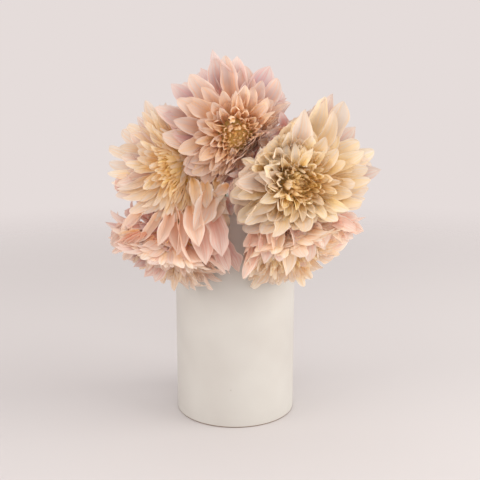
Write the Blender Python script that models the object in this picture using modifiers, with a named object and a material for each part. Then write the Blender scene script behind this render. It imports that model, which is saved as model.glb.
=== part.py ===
"""Five dinner plate dahlias in a straight matte ceramic vase.

Metres, +Z up, +X to the right as the flowers are seen, -Y towards the viewer.
The origin is the centre of the vase's flat underside.
"""

import math
import random
from dataclasses import dataclass

import bmesh
import bpy
import numpy as np
from mathutils import Vector

# Vase: a straight cylinder with a flat floor, a round rim and a small bevel at the foot
VASE_RADIUS = 0.070
VASE_HEIGHT = 0.252
VASE_WALL = 0.005
VASE_FLOOR = 0.008
FOOT_BEVEL = 0.0012
INNER_FILLET = 0.004
VASE_SIDES = 48

# Water stands at about seven tenths of the vase, with a plain hole for each stem
WATER_LEVEL = 0.180
WATER_SIDES = 24
TOUCH_GAP = 0.0003

# Stems: straight below the vase's mouth, then bent over to the flower
STEM_RADIUS = 0.0045
STEM_POINT_STEP = 0.019
STEM_NECK = 0.012

# Green cup under each flower, with its reflexed outer bracts
CUP_RADIUS = 0.0105
CUP_LENGTH = 0.010
CUP_SIDES = 12
BRACTS = 5
BRACT_LENGTH = 0.019
BRACT_WIDTH = 0.009
BRACT_CURL = 1.35
BRACT_ROOT = 0.005
BRACT_DROP = 0.004

# Flower head: a core at the heart, and petals that grow out of it in a spiral
CORE_RADIUS = 0.020
CORE_TOP = 0.024
CORE_SEAT = 0.010
CORE_SIDES = 12
PETAL_ROOT = 0.011
PETAL_THICKNESS = 0.0008
GOLDEN_ANGLE = math.pi * (3 - math.sqrt(5))
OUTER_PETALS = 38
LONG_PETALS = 24
INNER_PETALS = 18
AGE_STEP = 1 / 100

# Petals over their age, 0 for the outermost and 1 for the eye, as (age, value) stops: how far
# the tip is and how wide the petal is, as shares of the flower's reach, how far its root and
# its tip lean from the way the flower faces, in degrees, and how deeply it is cupped
TIP_REACH = ((0, 1.0), (0.2, 0.96), (0.38, 0.85), (0.6, 0.68), (0.8, 0.52), (1, 0.37))
PETAL_WIDTH = ((0, 0.37), (0.15, 0.34), (0.35, 0.26), (0.6, 0.17), (0.8, 0.11), (1, 0.05))
ROOT_LEAN = ((0, 104), (0.2, 82), (0.5, 54), (0.8, 26), (1, 4))
TIP_LEAN = ((0, 107), (0.15, 92), (0.35, 71), (0.6, 47), (0.8, 27), (1, 3))
CUPPING = ((0, 0.45), (0.3, 0.80), (0.6, 1.10), (1, 1.35))
WIDEST_AT = 0.66

# How petals meet a neighbouring flower: they give way from this far off, lose part of their
# length, bend up along a shared face, and settle just behind it
PRESS_DEPTH = 0.020
PRESS_LIFT = 0.70
PRESS_MARGIN = 0.0007
SETTLE_DEPTH = 0.004
LENGTH_KEPT = 0.85
GRAZING = 0.05

# How petals and bracts meet the vase: pushed out from its wall, less and less above its rim
VASE_CLEARANCE = 0.0035
VASE_PRESS_DEPTH = 0.012
VASE_SETTLE_DEPTH = 0.003
RIM_FULL = 0.008
RIM_FADE = 0.030

WELD = 0.00001


@dataclass
class Flower:
    """One dahlia: where its heart is, which way it faces, how far its petals reach, its stem.

    A lobe is (direction in degrees, extra reach, half width in degrees), as seen from the
    front and counted anticlockwise from the right.
    """
    name: str
    heart: tuple
    facing: tuple
    reach: float
    roll: float
    seed: int
    lobes: tuple
    stem_foot: tuple
    stem_mouth: tuple
    stem_bend: tuple


FLOWERS = (
    Flower("top", (0.000, -0.060, 0.332), (-0.04, -0.98, 0.06), 0.079, 0.3, 11,
           ((112, 0.16, 30), (175, 0.26, 32), (270, -0.16, 50), (10, -0.10, 40)),
           (0.002, 0.042), (0.004, -0.002, 0.250),
           ((0.004, -0.004, 0.285), (0.003, -0.016, 0.316))),
    Flower("right", (0.059, -0.085, 0.283), (0.20, -0.96, 0.10), 0.088, 1.4, 23,
           ((72, 0.28, 30), (0, 0.14, 30)),
           (0.034, 0.014), (0.036, -0.034, 0.250),
           ((0.042, -0.042, 0.266), (0.050, -0.056, 0.277))),
    Flower("left", (-0.063, -0.052, 0.297), (-0.28, -0.95, 0.08), 0.082, 2.2, 37,
           ((90, -0.12, 40), (180, -0.06, 40), (283, 0.22, 42)),
           (-0.036, 0.026), (-0.036, 0.004, 0.250),
           ((-0.043, -0.004, 0.270), (-0.053, -0.018, 0.289))),
    Flower("low_left", (-0.061, -0.082, 0.226), (-0.40, -0.62, -0.68), 0.081, 0.9, 41,
           ((160, 0.02, 35), (270, -0.10, 50), (340, 0.08, 35)),
           (-0.016, 0.006), (-0.014, -0.034, 0.250),
           ((-0.014, -0.052, 0.264), (-0.016, -0.068, 0.262), (-0.029, -0.076, 0.251))),
    Flower("low_right", (0.050, -0.084, 0.231), (0.26, -0.72, -0.64), 0.083, 2.9, 53,
           ((10, 0.16, 35), (250, -0.08, 50)),
           (0.012, 0.002), (0.014, -0.038, 0.250),
           ((0.017, -0.052, 0.264), (0.023, -0.064, 0.264), (0.036, -0.070, 0.250))),
)

# Where two flowers press on each other: the share of the way between their hearts, and the
# way that the shared face looks, from the first flower to the second
CONTACTS = (
    ("top", "right", 0.44, (0.62, -0.20, -0.60)),
    ("top", "left", 0.50, (-0.55, 0.75, -0.30)),
    ("top", "low_left", 0.55, (-0.40, -0.20, -0.90)),
    ("top", "low_right", 0.55, (0.40, -0.20, -0.90)),
    ("right", "left", 0.50, (-1.0, 0.30, 0.0)),
    ("right", "low_left", 0.60, (-0.90, 0.0, -0.45)),
    ("right", "low_right", 0.50, (0.22, 0.40, -0.88)),
    ("left", "low_left", 0.50, (-0.10, 0.52, -0.85)),
    ("left", "low_right", 0.50, (0.80, -0.20, -0.50)),
    ("low_left", "low_right", 0.58, (1.0, 0.0, 0.0)),
)

# The lower left flower's stem comes over the rim behind these petals of the left flower
STEM_BEHIND = {"left": ((-0.015, -0.069, 0.268), (0.30, 0.56, -0.78))}


def unit(vector):
    """The same direction with length one."""
    vector = np.asarray(vector, float)
    return vector / np.linalg.norm(vector)


def flower_axes(flower):
    """Right, up and facing directions of a flower, as the rows of a matrix."""
    facing = unit(flower.facing)
    up = unit(np.array((0.0, 0.0, 1.0)) - facing[2] * facing)
    return np.array((np.cross(up, facing), up, facing))


def ramp(age, stops):
    """A value for a petal's age, from (age, value) stops."""
    ages, values = zip(*stops)
    return float(np.interp(age, ages, values))


def lobe_reach(flower, direction):
    """How much further than the flower's reach a petal goes in a direction."""
    factor = 1.0
    for lobe_direction, extra, half_width in flower.lobes:
        off = math.remainder(direction - math.radians(lobe_direction), math.tau)
        factor += extra * math.exp(-(off / math.radians(half_width)) ** 2)
    return factor


def petal_ages(inner_count):
    """Ages of a head's petals: 0 is the oldest, outermost one and 1 is the eye."""
    outer = [index * AGE_STEP for index in range(OUTER_PETALS)]
    start = OUTER_PETALS * AGE_STEP
    inner = [start + (1 - start) * index / (inner_count - 1) for index in range(inner_count)]
    return outer + inner


def petal_traits(flower, inner_count):
    """Direction, lean, length and width of every petal of one head, in the order they grew."""
    draw = random.Random(flower.seed)
    crowding = math.sqrt((1 / AGE_STEP - OUTER_PETALS) / inner_count)
    traits = []
    for index, age in enumerate(petal_ages(inner_count)):
        direction = flower.roll + index * GOLDEN_ANGLE + draw.uniform(-0.06, 0.06)
        lobe = 1 + (lobe_reach(flower, direction) - 1) * max(0.0, 1 - 1.6 * age)
        width = flower.reach * ramp(age, PETAL_WIDTH)
        if index >= OUTER_PETALS:
            width *= crowding
        traits.append({
            "direction": direction,
            "tip": flower.reach * lobe * ramp(age, TIP_REACH) * draw.uniform(0.95, 1.05),
            "width": width * draw.uniform(0.92, 1.08),
            "root_lean": math.radians(ramp(age, ROOT_LEAN)),
            "tip_lean": math.radians(ramp(age, TIP_LEAN) + draw.uniform(-2.5, 2.5) * (1 - age)),
            "cup": ramp(age, CUPPING),
            "twist": draw.uniform(-0.12, 0.12) * (1 - age),
            "bend": draw.uniform(-0.06, 0.06) * (1 - age),
        })
    return traits


def petal_outline(s):
    """Half width of a petal along its length, one at its widest: narrow root, pointed tip."""
    swell = 0.14 + 0.86 * math.sin(0.5 * math.pi * min(1.0, s / WIDEST_AT)) ** 1.2
    past = max(0.0, s - WIDEST_AT) / (1 - WIDEST_AT)
    return swell * max(0.0, 1 - past ** 2.6) ** 0.8


def petal_row(trait, s, across):
    """Points across a petal's middle surface, at a share s of its length, about the heart."""
    radius = PETAL_ROOT + (trait["tip"] - PETAL_ROOT) * s
    lean = trait["root_lean"] + (trait["tip_lean"] - trait["root_lean"]) * s ** 1.4
    direction = trait["direction"] + trait["bend"] * s * s
    outward = np.array((math.cos(direction), math.sin(direction), 0.0))
    forward = np.array((0.0, 0.0, 1.0))
    rib = radius * (math.sin(lean) * outward + math.cos(lean) * forward)
    inner_face = math.sin(lean) * forward - math.cos(lean) * outward
    side = np.array((-math.sin(direction), math.cos(direction), 0.0))
    twist = trait["twist"] * s
    edge = math.cos(twist) * side + math.sin(twist) * inner_face
    rise = math.cos(twist) * inner_face - math.sin(twist) * side
    half = 0.5 * trait["width"] * petal_outline(s)
    cup = trait["cup"] * (0.55 + 0.45 * s)
    return [rib + half * (math.sin(cup * v) / cup * edge + (1 - math.cos(cup * v)) / cup * rise)
            for v in across]


def shared_faces(flower):
    """Planes that a flower's petals stay behind, each a point and an outward normal."""
    hearts = {other.name: np.array(other.heart) for other in FLOWERS}
    faces = []
    for first, second, share, looks in CONTACTS:
        if flower.name in (first, second):
            point = hearts[first] + share * (hearts[second] - hearts[first])
            faces.append((point, unit(looks) if flower.name == first else -unit(looks)))
    if flower.name in STEM_BEHIND:
        point, looks = STEM_BEHIND[flower.name]
        faces.append((np.array(point), unit(looks)))
    return faces


def shorten(trait, flower, axes, faces):
    """Keep part of the length that would go through a neighbouring flower."""
    lean = trait["tip_lean"]
    direction = trait["direction"]
    ray = np.array((math.sin(lean) * math.cos(direction), math.sin(lean) * math.sin(direction),
                    math.cos(lean))) @ axes
    room = trait["tip"]
    for point, normal in faces:
        closing = ray @ normal
        if closing > GRAZING:
            room = min(room, (point - np.array(flower.heart)) @ normal / closing)
    trait["tip"] = room + (trait["tip"] - room) * LENGTH_KEPT


def held_depth(depth, soft, margin):
    """Depth behind a face after pressing: unchanged far inside, and never less than the margin."""
    inside = depth - margin
    return margin + np.where(inside < soft, soft * np.exp(np.minimum(inside - soft, 0) / soft), inside)


def press(points, flower, faces):
    """Bend points away from the neighbouring flowers and from the vase, then let them settle."""
    facing = unit(flower.facing)
    for lift, soft, wall_soft in ((PRESS_LIFT, PRESS_DEPTH, VASE_PRESS_DEPTH),
                                  (0, SETTLE_DEPTH, VASE_SETTLE_DEPTH)):
        for point, normal in faces:
            depth = (point - points) @ normal
            push = (held_depth(depth, soft, PRESS_MARGIN) - depth)[..., None]
            along_face = facing - (facing @ normal) * normal
            points = points - push * normal + lift * push * along_face
        points = clear_of_vase(points, wall_soft)
    return points


def clear_of_vase(points, soft):
    """Push points out from the vase's wall, fading out above its rim."""
    radius = np.hypot(points[..., 0], points[..., 1])
    depth = radius - VASE_RADIUS
    fade = np.clip((VASE_HEIGHT + RIM_FADE - points[..., 2]) / (RIM_FADE - RIM_FULL), 0, 1)
    push = (held_depth(depth, soft, VASE_CLEARANCE) - depth) * fade
    scale = 1 + push / np.maximum(radius, WELD)
    return points * np.stack((scale, scale, np.ones_like(scale)), -1)


def material(name, colour, roughness):
    """A Principled material of one colour."""
    made = bpy.data.materials.new(name)
    made.use_nodes = True
    shader = made.node_tree.nodes["Principled BSDF"]
    shader.inputs["Base Color"].default_value = (*colour, 1)
    shader.inputs["Roughness"].default_value = roughness
    made.diffuse_color = (*colour, 1)
    return made


def hidden_collection(name):
    """A collection for pieces that are cut with or fused in, left out of renders."""
    made = bpy.data.collections.new(name)
    bpy.context.scene.collection.children.link(made)
    made.hide_render = True
    return made


def new_object(name, mesh, collection, finish=None):
    """Link a mesh as a named object, with its material if it has one."""
    made = bpy.data.objects.new(name, mesh)
    collection.objects.link(made)
    if finish:
        mesh.materials.append(finish)
    return made


def evaluated_mesh(source):
    """The mesh of an object with its modifiers, in its own axes."""
    bpy.context.view_layer.update()
    graph = bpy.context.evaluated_depsgraph_get()
    return bpy.data.meshes.new_from_object(source.evaluated_get(graph))


def turned(name, profile, sides, collection, finish=None):
    """A solid turned about Z, from a profile that runs up the inside and down the outside."""
    mesh = bpy.data.meshes.new(name)
    links = [(index, index + 1) for index in range(len(profile) - 1)]
    mesh.from_pydata([(x, 0, z) for x, z in profile], links, [])
    made = new_object(name, mesh, collection, finish)
    screw = made.modifiers.new("turn", "SCREW")
    screw.steps = sides
    screw.render_steps = sides
    screw.use_merge_vertices = True
    screw.merge_threshold = WELD
    screw.use_smooth_shade = True
    return made


def arc(centre, radius, start, end, count):
    """Points of an arc in the profile's plane, angles in degrees."""
    angles = [math.radians(start + (end - start) * index / count) for index in range(count + 1)]
    return [(centre[0] + radius * math.cos(a), centre[1] + radius * math.sin(a)) for a in angles]


def tube(name, points, radius, collection, finish=None):
    """A round tube along points, with closed ends, as a mesh object."""
    curve = bpy.data.curves.new(name, "CURVE")
    curve.dimensions = "3D"
    curve.bevel_depth = radius
    curve.bevel_resolution = 2
    curve.use_fill_caps = True
    spline = curve.splines.new("POLY")
    spline.points.add(len(points) - 1)
    for place, point in zip(spline.points, points):
        place.co = (*point, 1)
    holder = bpy.data.objects.new(name, curve)
    collection.objects.link(holder)
    mesh = evaluated_mesh(holder)
    bpy.data.objects.remove(holder, do_unlink=True)
    shape = bmesh.new()
    shape.from_mesh(mesh)
    bmesh.ops.remove_doubles(shape, verts=shape.verts, dist=WELD)
    bmesh.ops.recalc_face_normals(shape, faces=shape.faces)
    shape.to_mesh(mesh)
    shape.free()
    mesh.shade_smooth()
    return new_object(name, mesh, collection, finish)


def blade(name, rows, collection):
    """A thin blade over rows of three points that may start and end in a row of one.

    It is split into triangles before it gets its thickness, alike on both faces.
    """
    points = [tuple(point) for row in rows for point in row]
    faces = []
    first = 0
    for row, following in zip(rows, rows[1:]):
        second = first + len(row)
        if len(row) == 1:
            faces += [(first, second + 1, second), (first, second + 2, second + 1)]
        elif len(following) == 1:
            faces += [(first, first + 1, second), (first + 1, first + 2, second)]
        else:
            faces += [(first, first + 1, second), (first + 1, second + 1, second),
                      (first + 1, first + 2, second + 2), (first + 1, second + 2, second + 1)]
        first = second
    mesh = bpy.data.meshes.new(name)
    mesh.from_pydata(points, [], faces)
    made = new_object(name, mesh, collection)
    shell = made.modifiers.new("thickness", "SOLIDIFY")
    shell.thickness = PETAL_THICKNESS
    shell.offset = 0
    return made


def keep_largest_body(mesh):
    """Fill sealed pockets and drop loose scraps: only the largest closed surface stays."""
    shape = bmesh.new()
    shape.from_mesh(mesh)
    left = set(shape.faces)
    bodies = []
    while left:
        body = [left.pop()]
        for face in body:
            near = {other for edge in face.edges for other in edge.link_faces} & left
            left -= near
            body += near
        bodies.append(body)
    bodies.sort(key=len)
    for scrap in bodies[:-1]:
        bmesh.ops.delete(shape, geom=scrap, context="FACES")
    shape.to_mesh(mesh)
    shape.free()


def grow_together(base, parts, finish):
    """Fuse every object of a collection into the base object, then remove them."""
    union = base.modifiers.new("grown together", "BOOLEAN")
    union.operation = "UNION"
    union.operand_type = "COLLECTION"
    union.collection = parts
    union.solver = "MANIFOLD"
    mesh = evaluated_mesh(base)
    mesh.materials.clear()
    mesh.materials.append(finish)
    for polygon in mesh.polygons:
        polygon.material_index = 0
    keep_largest_body(mesh)
    base.modifiers.clear()
    base.data = mesh
    for part in list(parts.objects):
        bpy.data.objects.remove(part, do_unlink=True)
    bpy.data.collections.remove(parts)


def stand_at_heart(made, flower):
    """Place an object made about the heart, its +Z along the way that the flower faces."""
    made.rotation_euler = Vector(unit(flower.facing)).to_track_quat("Z", "Y").to_euler()
    made.location = flower.heart


def make_vase(collection):
    """The vase: straight outside, its rim a half round as thick as the wall."""
    inner = VASE_RADIUS - VASE_WALL
    rim = VASE_WALL / 2
    profile = [(0, VASE_FLOOR)]
    profile += arc((inner - INNER_FILLET, VASE_FLOOR + INNER_FILLET), INNER_FILLET, -90, 0, 2)
    profile += arc((VASE_RADIUS - rim, VASE_HEIGHT - rim), rim, 180, 0, 4)
    profile += [(VASE_RADIUS, FOOT_BEVEL), (VASE_RADIUS - FOOT_BEVEL, 0), (0, 0)]
    turned("vase", profile, VASE_SIDES, collection, material("matte_ceramic", (0.80, 0.76, 0.70), 0.65))


def make_water(collection, cutters):
    """Water up to its level, with a plain hole for each stem."""
    radius = VASE_RADIUS - VASE_WALL - TOUCH_GAP
    low = VASE_FLOOR + TOUCH_GAP
    profile = [(0, WATER_LEVEL), (radius, WATER_LEVEL)]
    profile += arc((radius - INNER_FILLET, low + INNER_FILLET), INNER_FILLET, 0, -90, 2)
    profile += [(0, low)]
    water = turned("water", profile, WATER_SIDES, collection, material("water", (0.75, 0.80, 0.78), 0.05))
    for flower in FLOWERS:
        foot = Vector((*flower.stem_foot, VASE_FLOOR))
        run = Vector(flower.stem_mouth) - foot
        hole = tube("hole_" + flower.name, (foot - run * 0.1, foot + run * 0.9),
                    STEM_RADIUS + 2 * TOUCH_GAP, cutters)
        hole.hide_render = True
        hole.display_type = "WIRE"
    cut = water.modifiers.new("stem holes", "BOOLEAN")
    cut.operation = "DIFFERENCE"
    cut.operand_type = "COLLECTION"
    cut.collection = cutters


def spline_point(before, start, end, after, t):
    """A point of the smooth curve from start to end, with the points before and after them."""
    chord = (end - start).length
    leave = (end - before).normalized() * chord
    arrive = (after - start).normalized() * chord
    return ((2 * t**3 - 3 * t**2 + 1) * start + (t**3 - 2 * t**2 + t) * leave
            + (-2 * t**3 + 3 * t**2) * end + (t**3 - t**2) * arrive)


def stem_route(flower):
    """Points of a stem's centre line, from its cut end on the vase's floor to the green cup."""
    foot = Vector((*flower.stem_foot, VASE_FLOOR))
    tilt = (Vector(flower.stem_mouth) - foot).angle(Vector((0, 0, 1)))
    foot.z += TOUCH_GAP + STEM_RADIUS * math.sin(tilt)
    facing = Vector(unit(flower.facing))
    cup = Vector(flower.heart) - facing * (CORE_SEAT + CUP_LENGTH * 0.6)
    bends = [Vector(flower.stem_mouth), *(Vector(point) for point in flower.stem_bend),
             cup - facing * STEM_NECK, cup]
    points = [foot]
    for index, (start, end) in enumerate(zip(bends, bends[1:])):
        before = bends[index - 1] if index else foot
        after = bends[index + 2] if index + 2 < len(bends) else 2 * end - start
        steps = max(1, round((end - start).length / STEM_POINT_STEP))
        points += [spline_point(before, start, end, after, step / steps) for step in range(steps)]
    return points + [cup]


def make_stem(flower, collection, finish):
    """A stem grown together with the green cup and the reflexed bracts under its flower."""
    stem = tube("stem_" + flower.name, stem_route(flower), STEM_RADIUS, collection, finish)
    parts = hidden_collection("green of " + flower.name)
    seat = -CORE_SEAT - TOUCH_GAP
    profile = [(0, seat), (CUP_RADIUS, seat), (CUP_RADIUS * 0.78, seat - CUP_LENGTH * 0.7),
               (STEM_RADIUS * 1.05, seat - CUP_LENGTH), (0, seat - CUP_LENGTH)]
    stand_at_heart(turned("cup", profile, CUP_SIDES, parts), flower)
    axes = flower_axes(flower)
    for index in range(BRACTS):
        direction = flower.roll + index * math.tau / BRACTS
        outward = np.array((math.cos(direction), math.sin(direction), 0))
        side = np.array((-math.sin(direction), math.cos(direction), 0))
        rows = []
        for s, columns in ((0.0, (0,)), (0.45, (-1, 0, 1)), (0.80, (-1, 0, 1)), (1.0, (0,))):
            out = BRACT_ROOT + BRACT_LENGTH / BRACT_CURL * math.sin(BRACT_CURL * s)
            back = BRACT_DROP + BRACT_LENGTH / BRACT_CURL * (1 - math.cos(BRACT_CURL * s))
            half = 0.5 * BRACT_WIDTH * petal_outline(s)
            middle = out * outward + np.array((0, 0, seat - back))
            row = np.array([middle + v * half * side for v in columns]) @ axes + np.array(flower.heart)
            rows.append(clear_of_vase(row, VASE_CLEARANCE))
        blade("bract", rows, parts)
    grow_together(stem, parts, finish)


def make_bloom(flower, collection, finish):
    """A flower head: petals in their spiral layers, grown out of a small core."""
    profile = [(0, CORE_TOP), (CORE_RADIUS * 0.62, CORE_TOP * 0.72), (CORE_RADIUS * 0.95, CORE_TOP * 0.25),
               (CORE_RADIUS, 0), (CORE_RADIUS * 0.85, -CORE_SEAT * 0.6), (CUP_RADIUS, -CORE_SEAT),
               (0, -CORE_SEAT)]
    head = turned("bloom_" + flower.name, profile, CORE_SIDES, collection, finish)
    stand_at_heart(head, flower)
    parts = hidden_collection("petals of " + flower.name)
    axes = flower_axes(flower)
    faces = shared_faces(flower)
    heart = np.array(flower.heart)
    long_rows = ((0.0, (0,)), (0.45, (-1, 0, 1)), (0.82, (-1, 0, 1)), (1.0, (0,)))
    short_rows = ((0.0, (0,)), (0.68, (-1, 0, 1)), (1.0, (0,)))
    for index, trait in enumerate(petal_traits(flower, INNER_PETALS)):
        shorten(trait, flower, axes, faces)
        rows = [press(np.array(petal_row(trait, s, columns)) @ axes + heart, flower, faces)
                for s, columns in (long_rows if index < LONG_PETALS else short_rows)]
        blade("petal", rows, parts)
    grow_together(head, parts, finish)


def main():
    for old in list(bpy.data.objects):
        bpy.data.objects.remove(old, do_unlink=True)
    collection = bpy.data.collections.new("dahlias_in_vase")
    bpy.context.scene.collection.children.link(collection)
    cutters = hidden_collection("cutters")
    make_vase(collection)
    make_water(collection, cutters)
    for flower in FLOWERS:
        green = material("green_" + flower.name, (0.16, 0.24, 0.06), 0.55)
        make_stem(flower, collection, green)
        blush = material("petals_" + flower.name, (0.86, 0.60, 0.44), 0.6)
        make_bloom(flower, collection, blush)


main()
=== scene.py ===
# %% [markdown]
# # Five dinner plate dahlias in a straight matte vase
# The construction comes in as a fixed frame: a vase, the water in it, five stems and five flower
# heads with few, plain petals. This lesson dresses it. The plain pieces give way to finer ones of
# the same main form, in the same places, petals are added where the picture shows more of them,
# and every surface gets a finish worked out from what the real thing is.

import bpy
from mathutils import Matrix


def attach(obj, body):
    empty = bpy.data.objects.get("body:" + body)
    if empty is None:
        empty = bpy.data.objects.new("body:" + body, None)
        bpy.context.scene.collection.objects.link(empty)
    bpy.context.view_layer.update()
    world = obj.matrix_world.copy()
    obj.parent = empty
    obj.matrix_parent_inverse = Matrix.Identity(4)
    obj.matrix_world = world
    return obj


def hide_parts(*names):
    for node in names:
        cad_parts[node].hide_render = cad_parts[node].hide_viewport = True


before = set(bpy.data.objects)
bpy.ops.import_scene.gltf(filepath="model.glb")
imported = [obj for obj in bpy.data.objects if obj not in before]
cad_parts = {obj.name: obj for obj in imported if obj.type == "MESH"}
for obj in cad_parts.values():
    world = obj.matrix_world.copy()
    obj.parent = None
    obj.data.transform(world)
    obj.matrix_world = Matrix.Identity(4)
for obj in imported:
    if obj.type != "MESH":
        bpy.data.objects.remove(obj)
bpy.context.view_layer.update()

import math
import random
from dataclasses import dataclass

import bmesh
import bpy
import numpy as np
from mathutils import Vector

print("frame nodes:", ", ".join(sorted(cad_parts)))

# %% [markdown]
# ## Seeing it
# The photograph was taken from a little above the flowers with a moderate lens. Distance, height
# and lens were fitted to the outlines of the vase and of the heads. The sides of the vase are
# straight and parallel, so an error in them would show as a taper.

# %% Camera
CAMERA_PLACE = (0.0, -0.8704, 0.3806)
LOOKS_DOWN = math.radians(11.486)
TURNS_RIGHT = math.radians(0.374)
LENS_MM = 56.755
SENSOR_MM = 36.0

camera_data = bpy.data.cameras.new("camera")
camera_data.sensor_width = SENSOR_MM
camera_data.lens = LENS_MM
camera = bpy.data.objects.new("camera", camera_data)
camera.location = CAMERA_PLACE
camera.rotation_euler = (math.pi / 2 - LOOKS_DOWN, 0.0, -TURNS_RIGHT)
bpy.context.scene.collection.objects.link(camera)
bpy.context.scene.camera = camera
bpy.context.scene.view_settings.view_transform = "Standard"
print("camera at", CAMERA_PLACE, "lens", LENS_MM, "mm")

# %% [markdown]
# With the view known, a place can be read off the picture. A pixel gives a line of sight, and a
# depth along Y gives the point on it. The petals that make the outline of the heads, and those
# that hang over others, are placed like that further down.

# %% From a pixel and a depth to a point
PICTURE = 480
MIDDLE = PICTURE / 2


def seen_at(pixel, depth):
    """The point at a depth along Y that shows at a pixel of the square picture."""
    right, up, back = camera.rotation_euler.to_matrix().col
    step = SENSOR_MM / PICTURE
    ray = (pixel[0] - MIDDLE) * step * right + (MIDDLE - pixel[1]) * step * up - LENS_MM * back
    return np.array(camera.location + ray * ((depth - camera.location.y) / ray.y))


print("the picture's middle, at the vase's axis, is", seen_at((MIDDLE, MIDDLE), 0.0).round(3))

# %% [markdown]
# ## Helpers for finishes
# Colours are read off as ordinary hex values, but a shader adds light up in linear values, so one
# function converts them. Another adds a node, sets it and wires it, which keeps each finish below
# short enough to read in one go. The third starts a material with the shader that they all share.

# %% Colour and node helpers
def linear(hex_colour):
    """Linear red, green, blue and alpha of an sRGB hex colour."""
    values = [int(hex_colour[index:index + 2], 16) / 255 for index in (1, 3, 5)]
    return tuple(v / 12.92 if v <= 0.04045 else ((v + 0.055) / 1.055) ** 2.4 for v in values) + (1.0,)


def add_node(tree, kind, settings=None, inputs=None):
    """Add a shader node, set its properties and stops, and fill its inputs with links or values."""
    node = tree.nodes.new("ShaderNode" + kind)
    for name, value in (settings or {}).items():
        if name == "stops":
            for index, (place, colour) in enumerate(value):
                stop = node.color_ramp.elements[index] if index < 2 else node.color_ramp.elements.new(place)
                stop.position = place
                stop.color = linear(colour)
        else:
            setattr(node, name, value)
    for name, value in (inputs or {}).items():
        if isinstance(value, bpy.types.NodeSocket):
            tree.links.new(value, node.inputs[name])
        else:
            node.inputs[name].default_value = value
    return node


def new_finish(name):
    """A new material with its Principled shader, as (material, tree, shader)."""
    made = bpy.data.materials.new(name)
    made.use_nodes = True
    return made, made.node_tree, made.node_tree.nodes["Principled BSDF"]


print("a middle grey, #808080, is", round(linear("#808080")[0], 3), "in linear light")

# %% [markdown]
# ## The vase
# A slip-cast stoneware cylinder, left unglazed or coated in a dry matte glaze. It can be made as
# one profile that is turned: up the inside from the floor, over a rim that is half a circle, and
# down the outside to a small bevel at the foot. A Screw modifier turns it in many steps, so that
# the outline stays round up close. The water is turned in the same way later on, so the steps
# that both need are functions.

# %% Pieces turned from a profile
def arc(centre, radius, start, end, count):
    """Points of an arc in the profile's plane, angles in degrees."""
    angles = [math.radians(start + (end - start) * index / count) for index in range(count + 1)]
    return [(centre[0] + radius * math.cos(a), centre[1] + radius * math.sin(a)) for a in angles]


def new_piece(name, mesh, finishes):
    """Link a mesh as a piece with its finishes."""
    piece = bpy.data.objects.new(name, mesh)
    bpy.context.scene.collection.objects.link(piece)
    for finish in finishes:
        mesh.materials.append(finish)
    return piece


def turned(name, profile, sides, finishes):
    """A piece turned about Z, from a profile that runs up the inside and down the outside."""
    mesh = bpy.data.meshes.new(name)
    links = [(index, index + 1) for index in range(len(profile) - 1)]
    mesh.from_pydata([(x, 0, z) for x, z in profile], links, [])
    piece = new_piece(name, mesh, finishes)
    screw = piece.modifiers.new("turn", "SCREW")
    screw.steps = sides
    screw.render_steps = sides
    screw.use_merge_vertices = True
    screw.merge_threshold = 0.00001
    screw.use_smooth_shade = True
    return piece


print("a quarter circle of radius one in two steps:", [(round(x, 2), round(y, 2)) for x, y in
                                                       arc((0, 0), 1, 0, 90, 2)])

# %% [markdown]
# The wall of such a vase is about 5 mm thick, and its floor is thicker, because it carries the
# weight. The profile has more points where it bends: in the fillet at the floor, in the rim and
# in the bevel at the foot.

# %% The vase's sizes and profile
VASE_RADIUS = 0.070
VASE_HEIGHT = 0.252
VASE_WALL = 0.005
VASE_FLOOR = 0.008
FOOT_BEVEL = 0.0012
INNER_FILLET = 0.004
WALL_SHARES = (0.25, 0.5, 0.75)
FINE_SIDES = 144

inner_radius = VASE_RADIUS - VASE_WALL
rim = VASE_WALL / 2
vase_profile = [(0, VASE_FLOOR), (inner_radius * 0.5, VASE_FLOOR)]
vase_profile += arc((inner_radius - INNER_FILLET, VASE_FLOOR + INNER_FILLET), INNER_FILLET, -90, 0, 6)
vase_profile += [(inner_radius, VASE_HEIGHT * share) for share in WALL_SHARES]
vase_profile += arc((VASE_RADIUS - rim, VASE_HEIGHT - rim), rim, 180, 0, 12)
vase_profile += [(VASE_RADIUS, VASE_HEIGHT * share) for share in (*reversed(WALL_SHARES), 0.05)]
vase_profile += arc((VASE_RADIUS - FOOT_BEVEL, FOOT_BEVEL), FOOT_BEVEL, 0, -90, 5)
vase_profile += [(VASE_RADIUS * 0.5, 0), (0, 0)]
print("vase profile has", len(vase_profile), "points,", round(VASE_HEIGHT * 1000), "mm tall")

# %% [markdown]
# Dry matte ceramic scatters light evenly, with only a wide, weak gloss (roughness near 0.7, the
# usual IOR of about 1.5). Its colour drifts a little over a few centimetres where the coat is
# thicker, its grain is a fraction of a millimetre, drawn at 1 mm so that it shows, and a few iron
# specks and pinholes about 1 mm wide break the coat. The lowest millimetre or so, at the foot, is
# coloured dark brown as a thin line.

# %% Matte ceramic
DRIFT_MM = 60.0
GRAIN_MM = 1.0
GRAIN_DEPTH = 0.0002
SPECK_SPACING_MM = 26.0
SPECK_RADIUS_MM = 0.9
SPECK_SHARE = 0.38
SPECK_STRENGTH = 0.45


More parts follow.
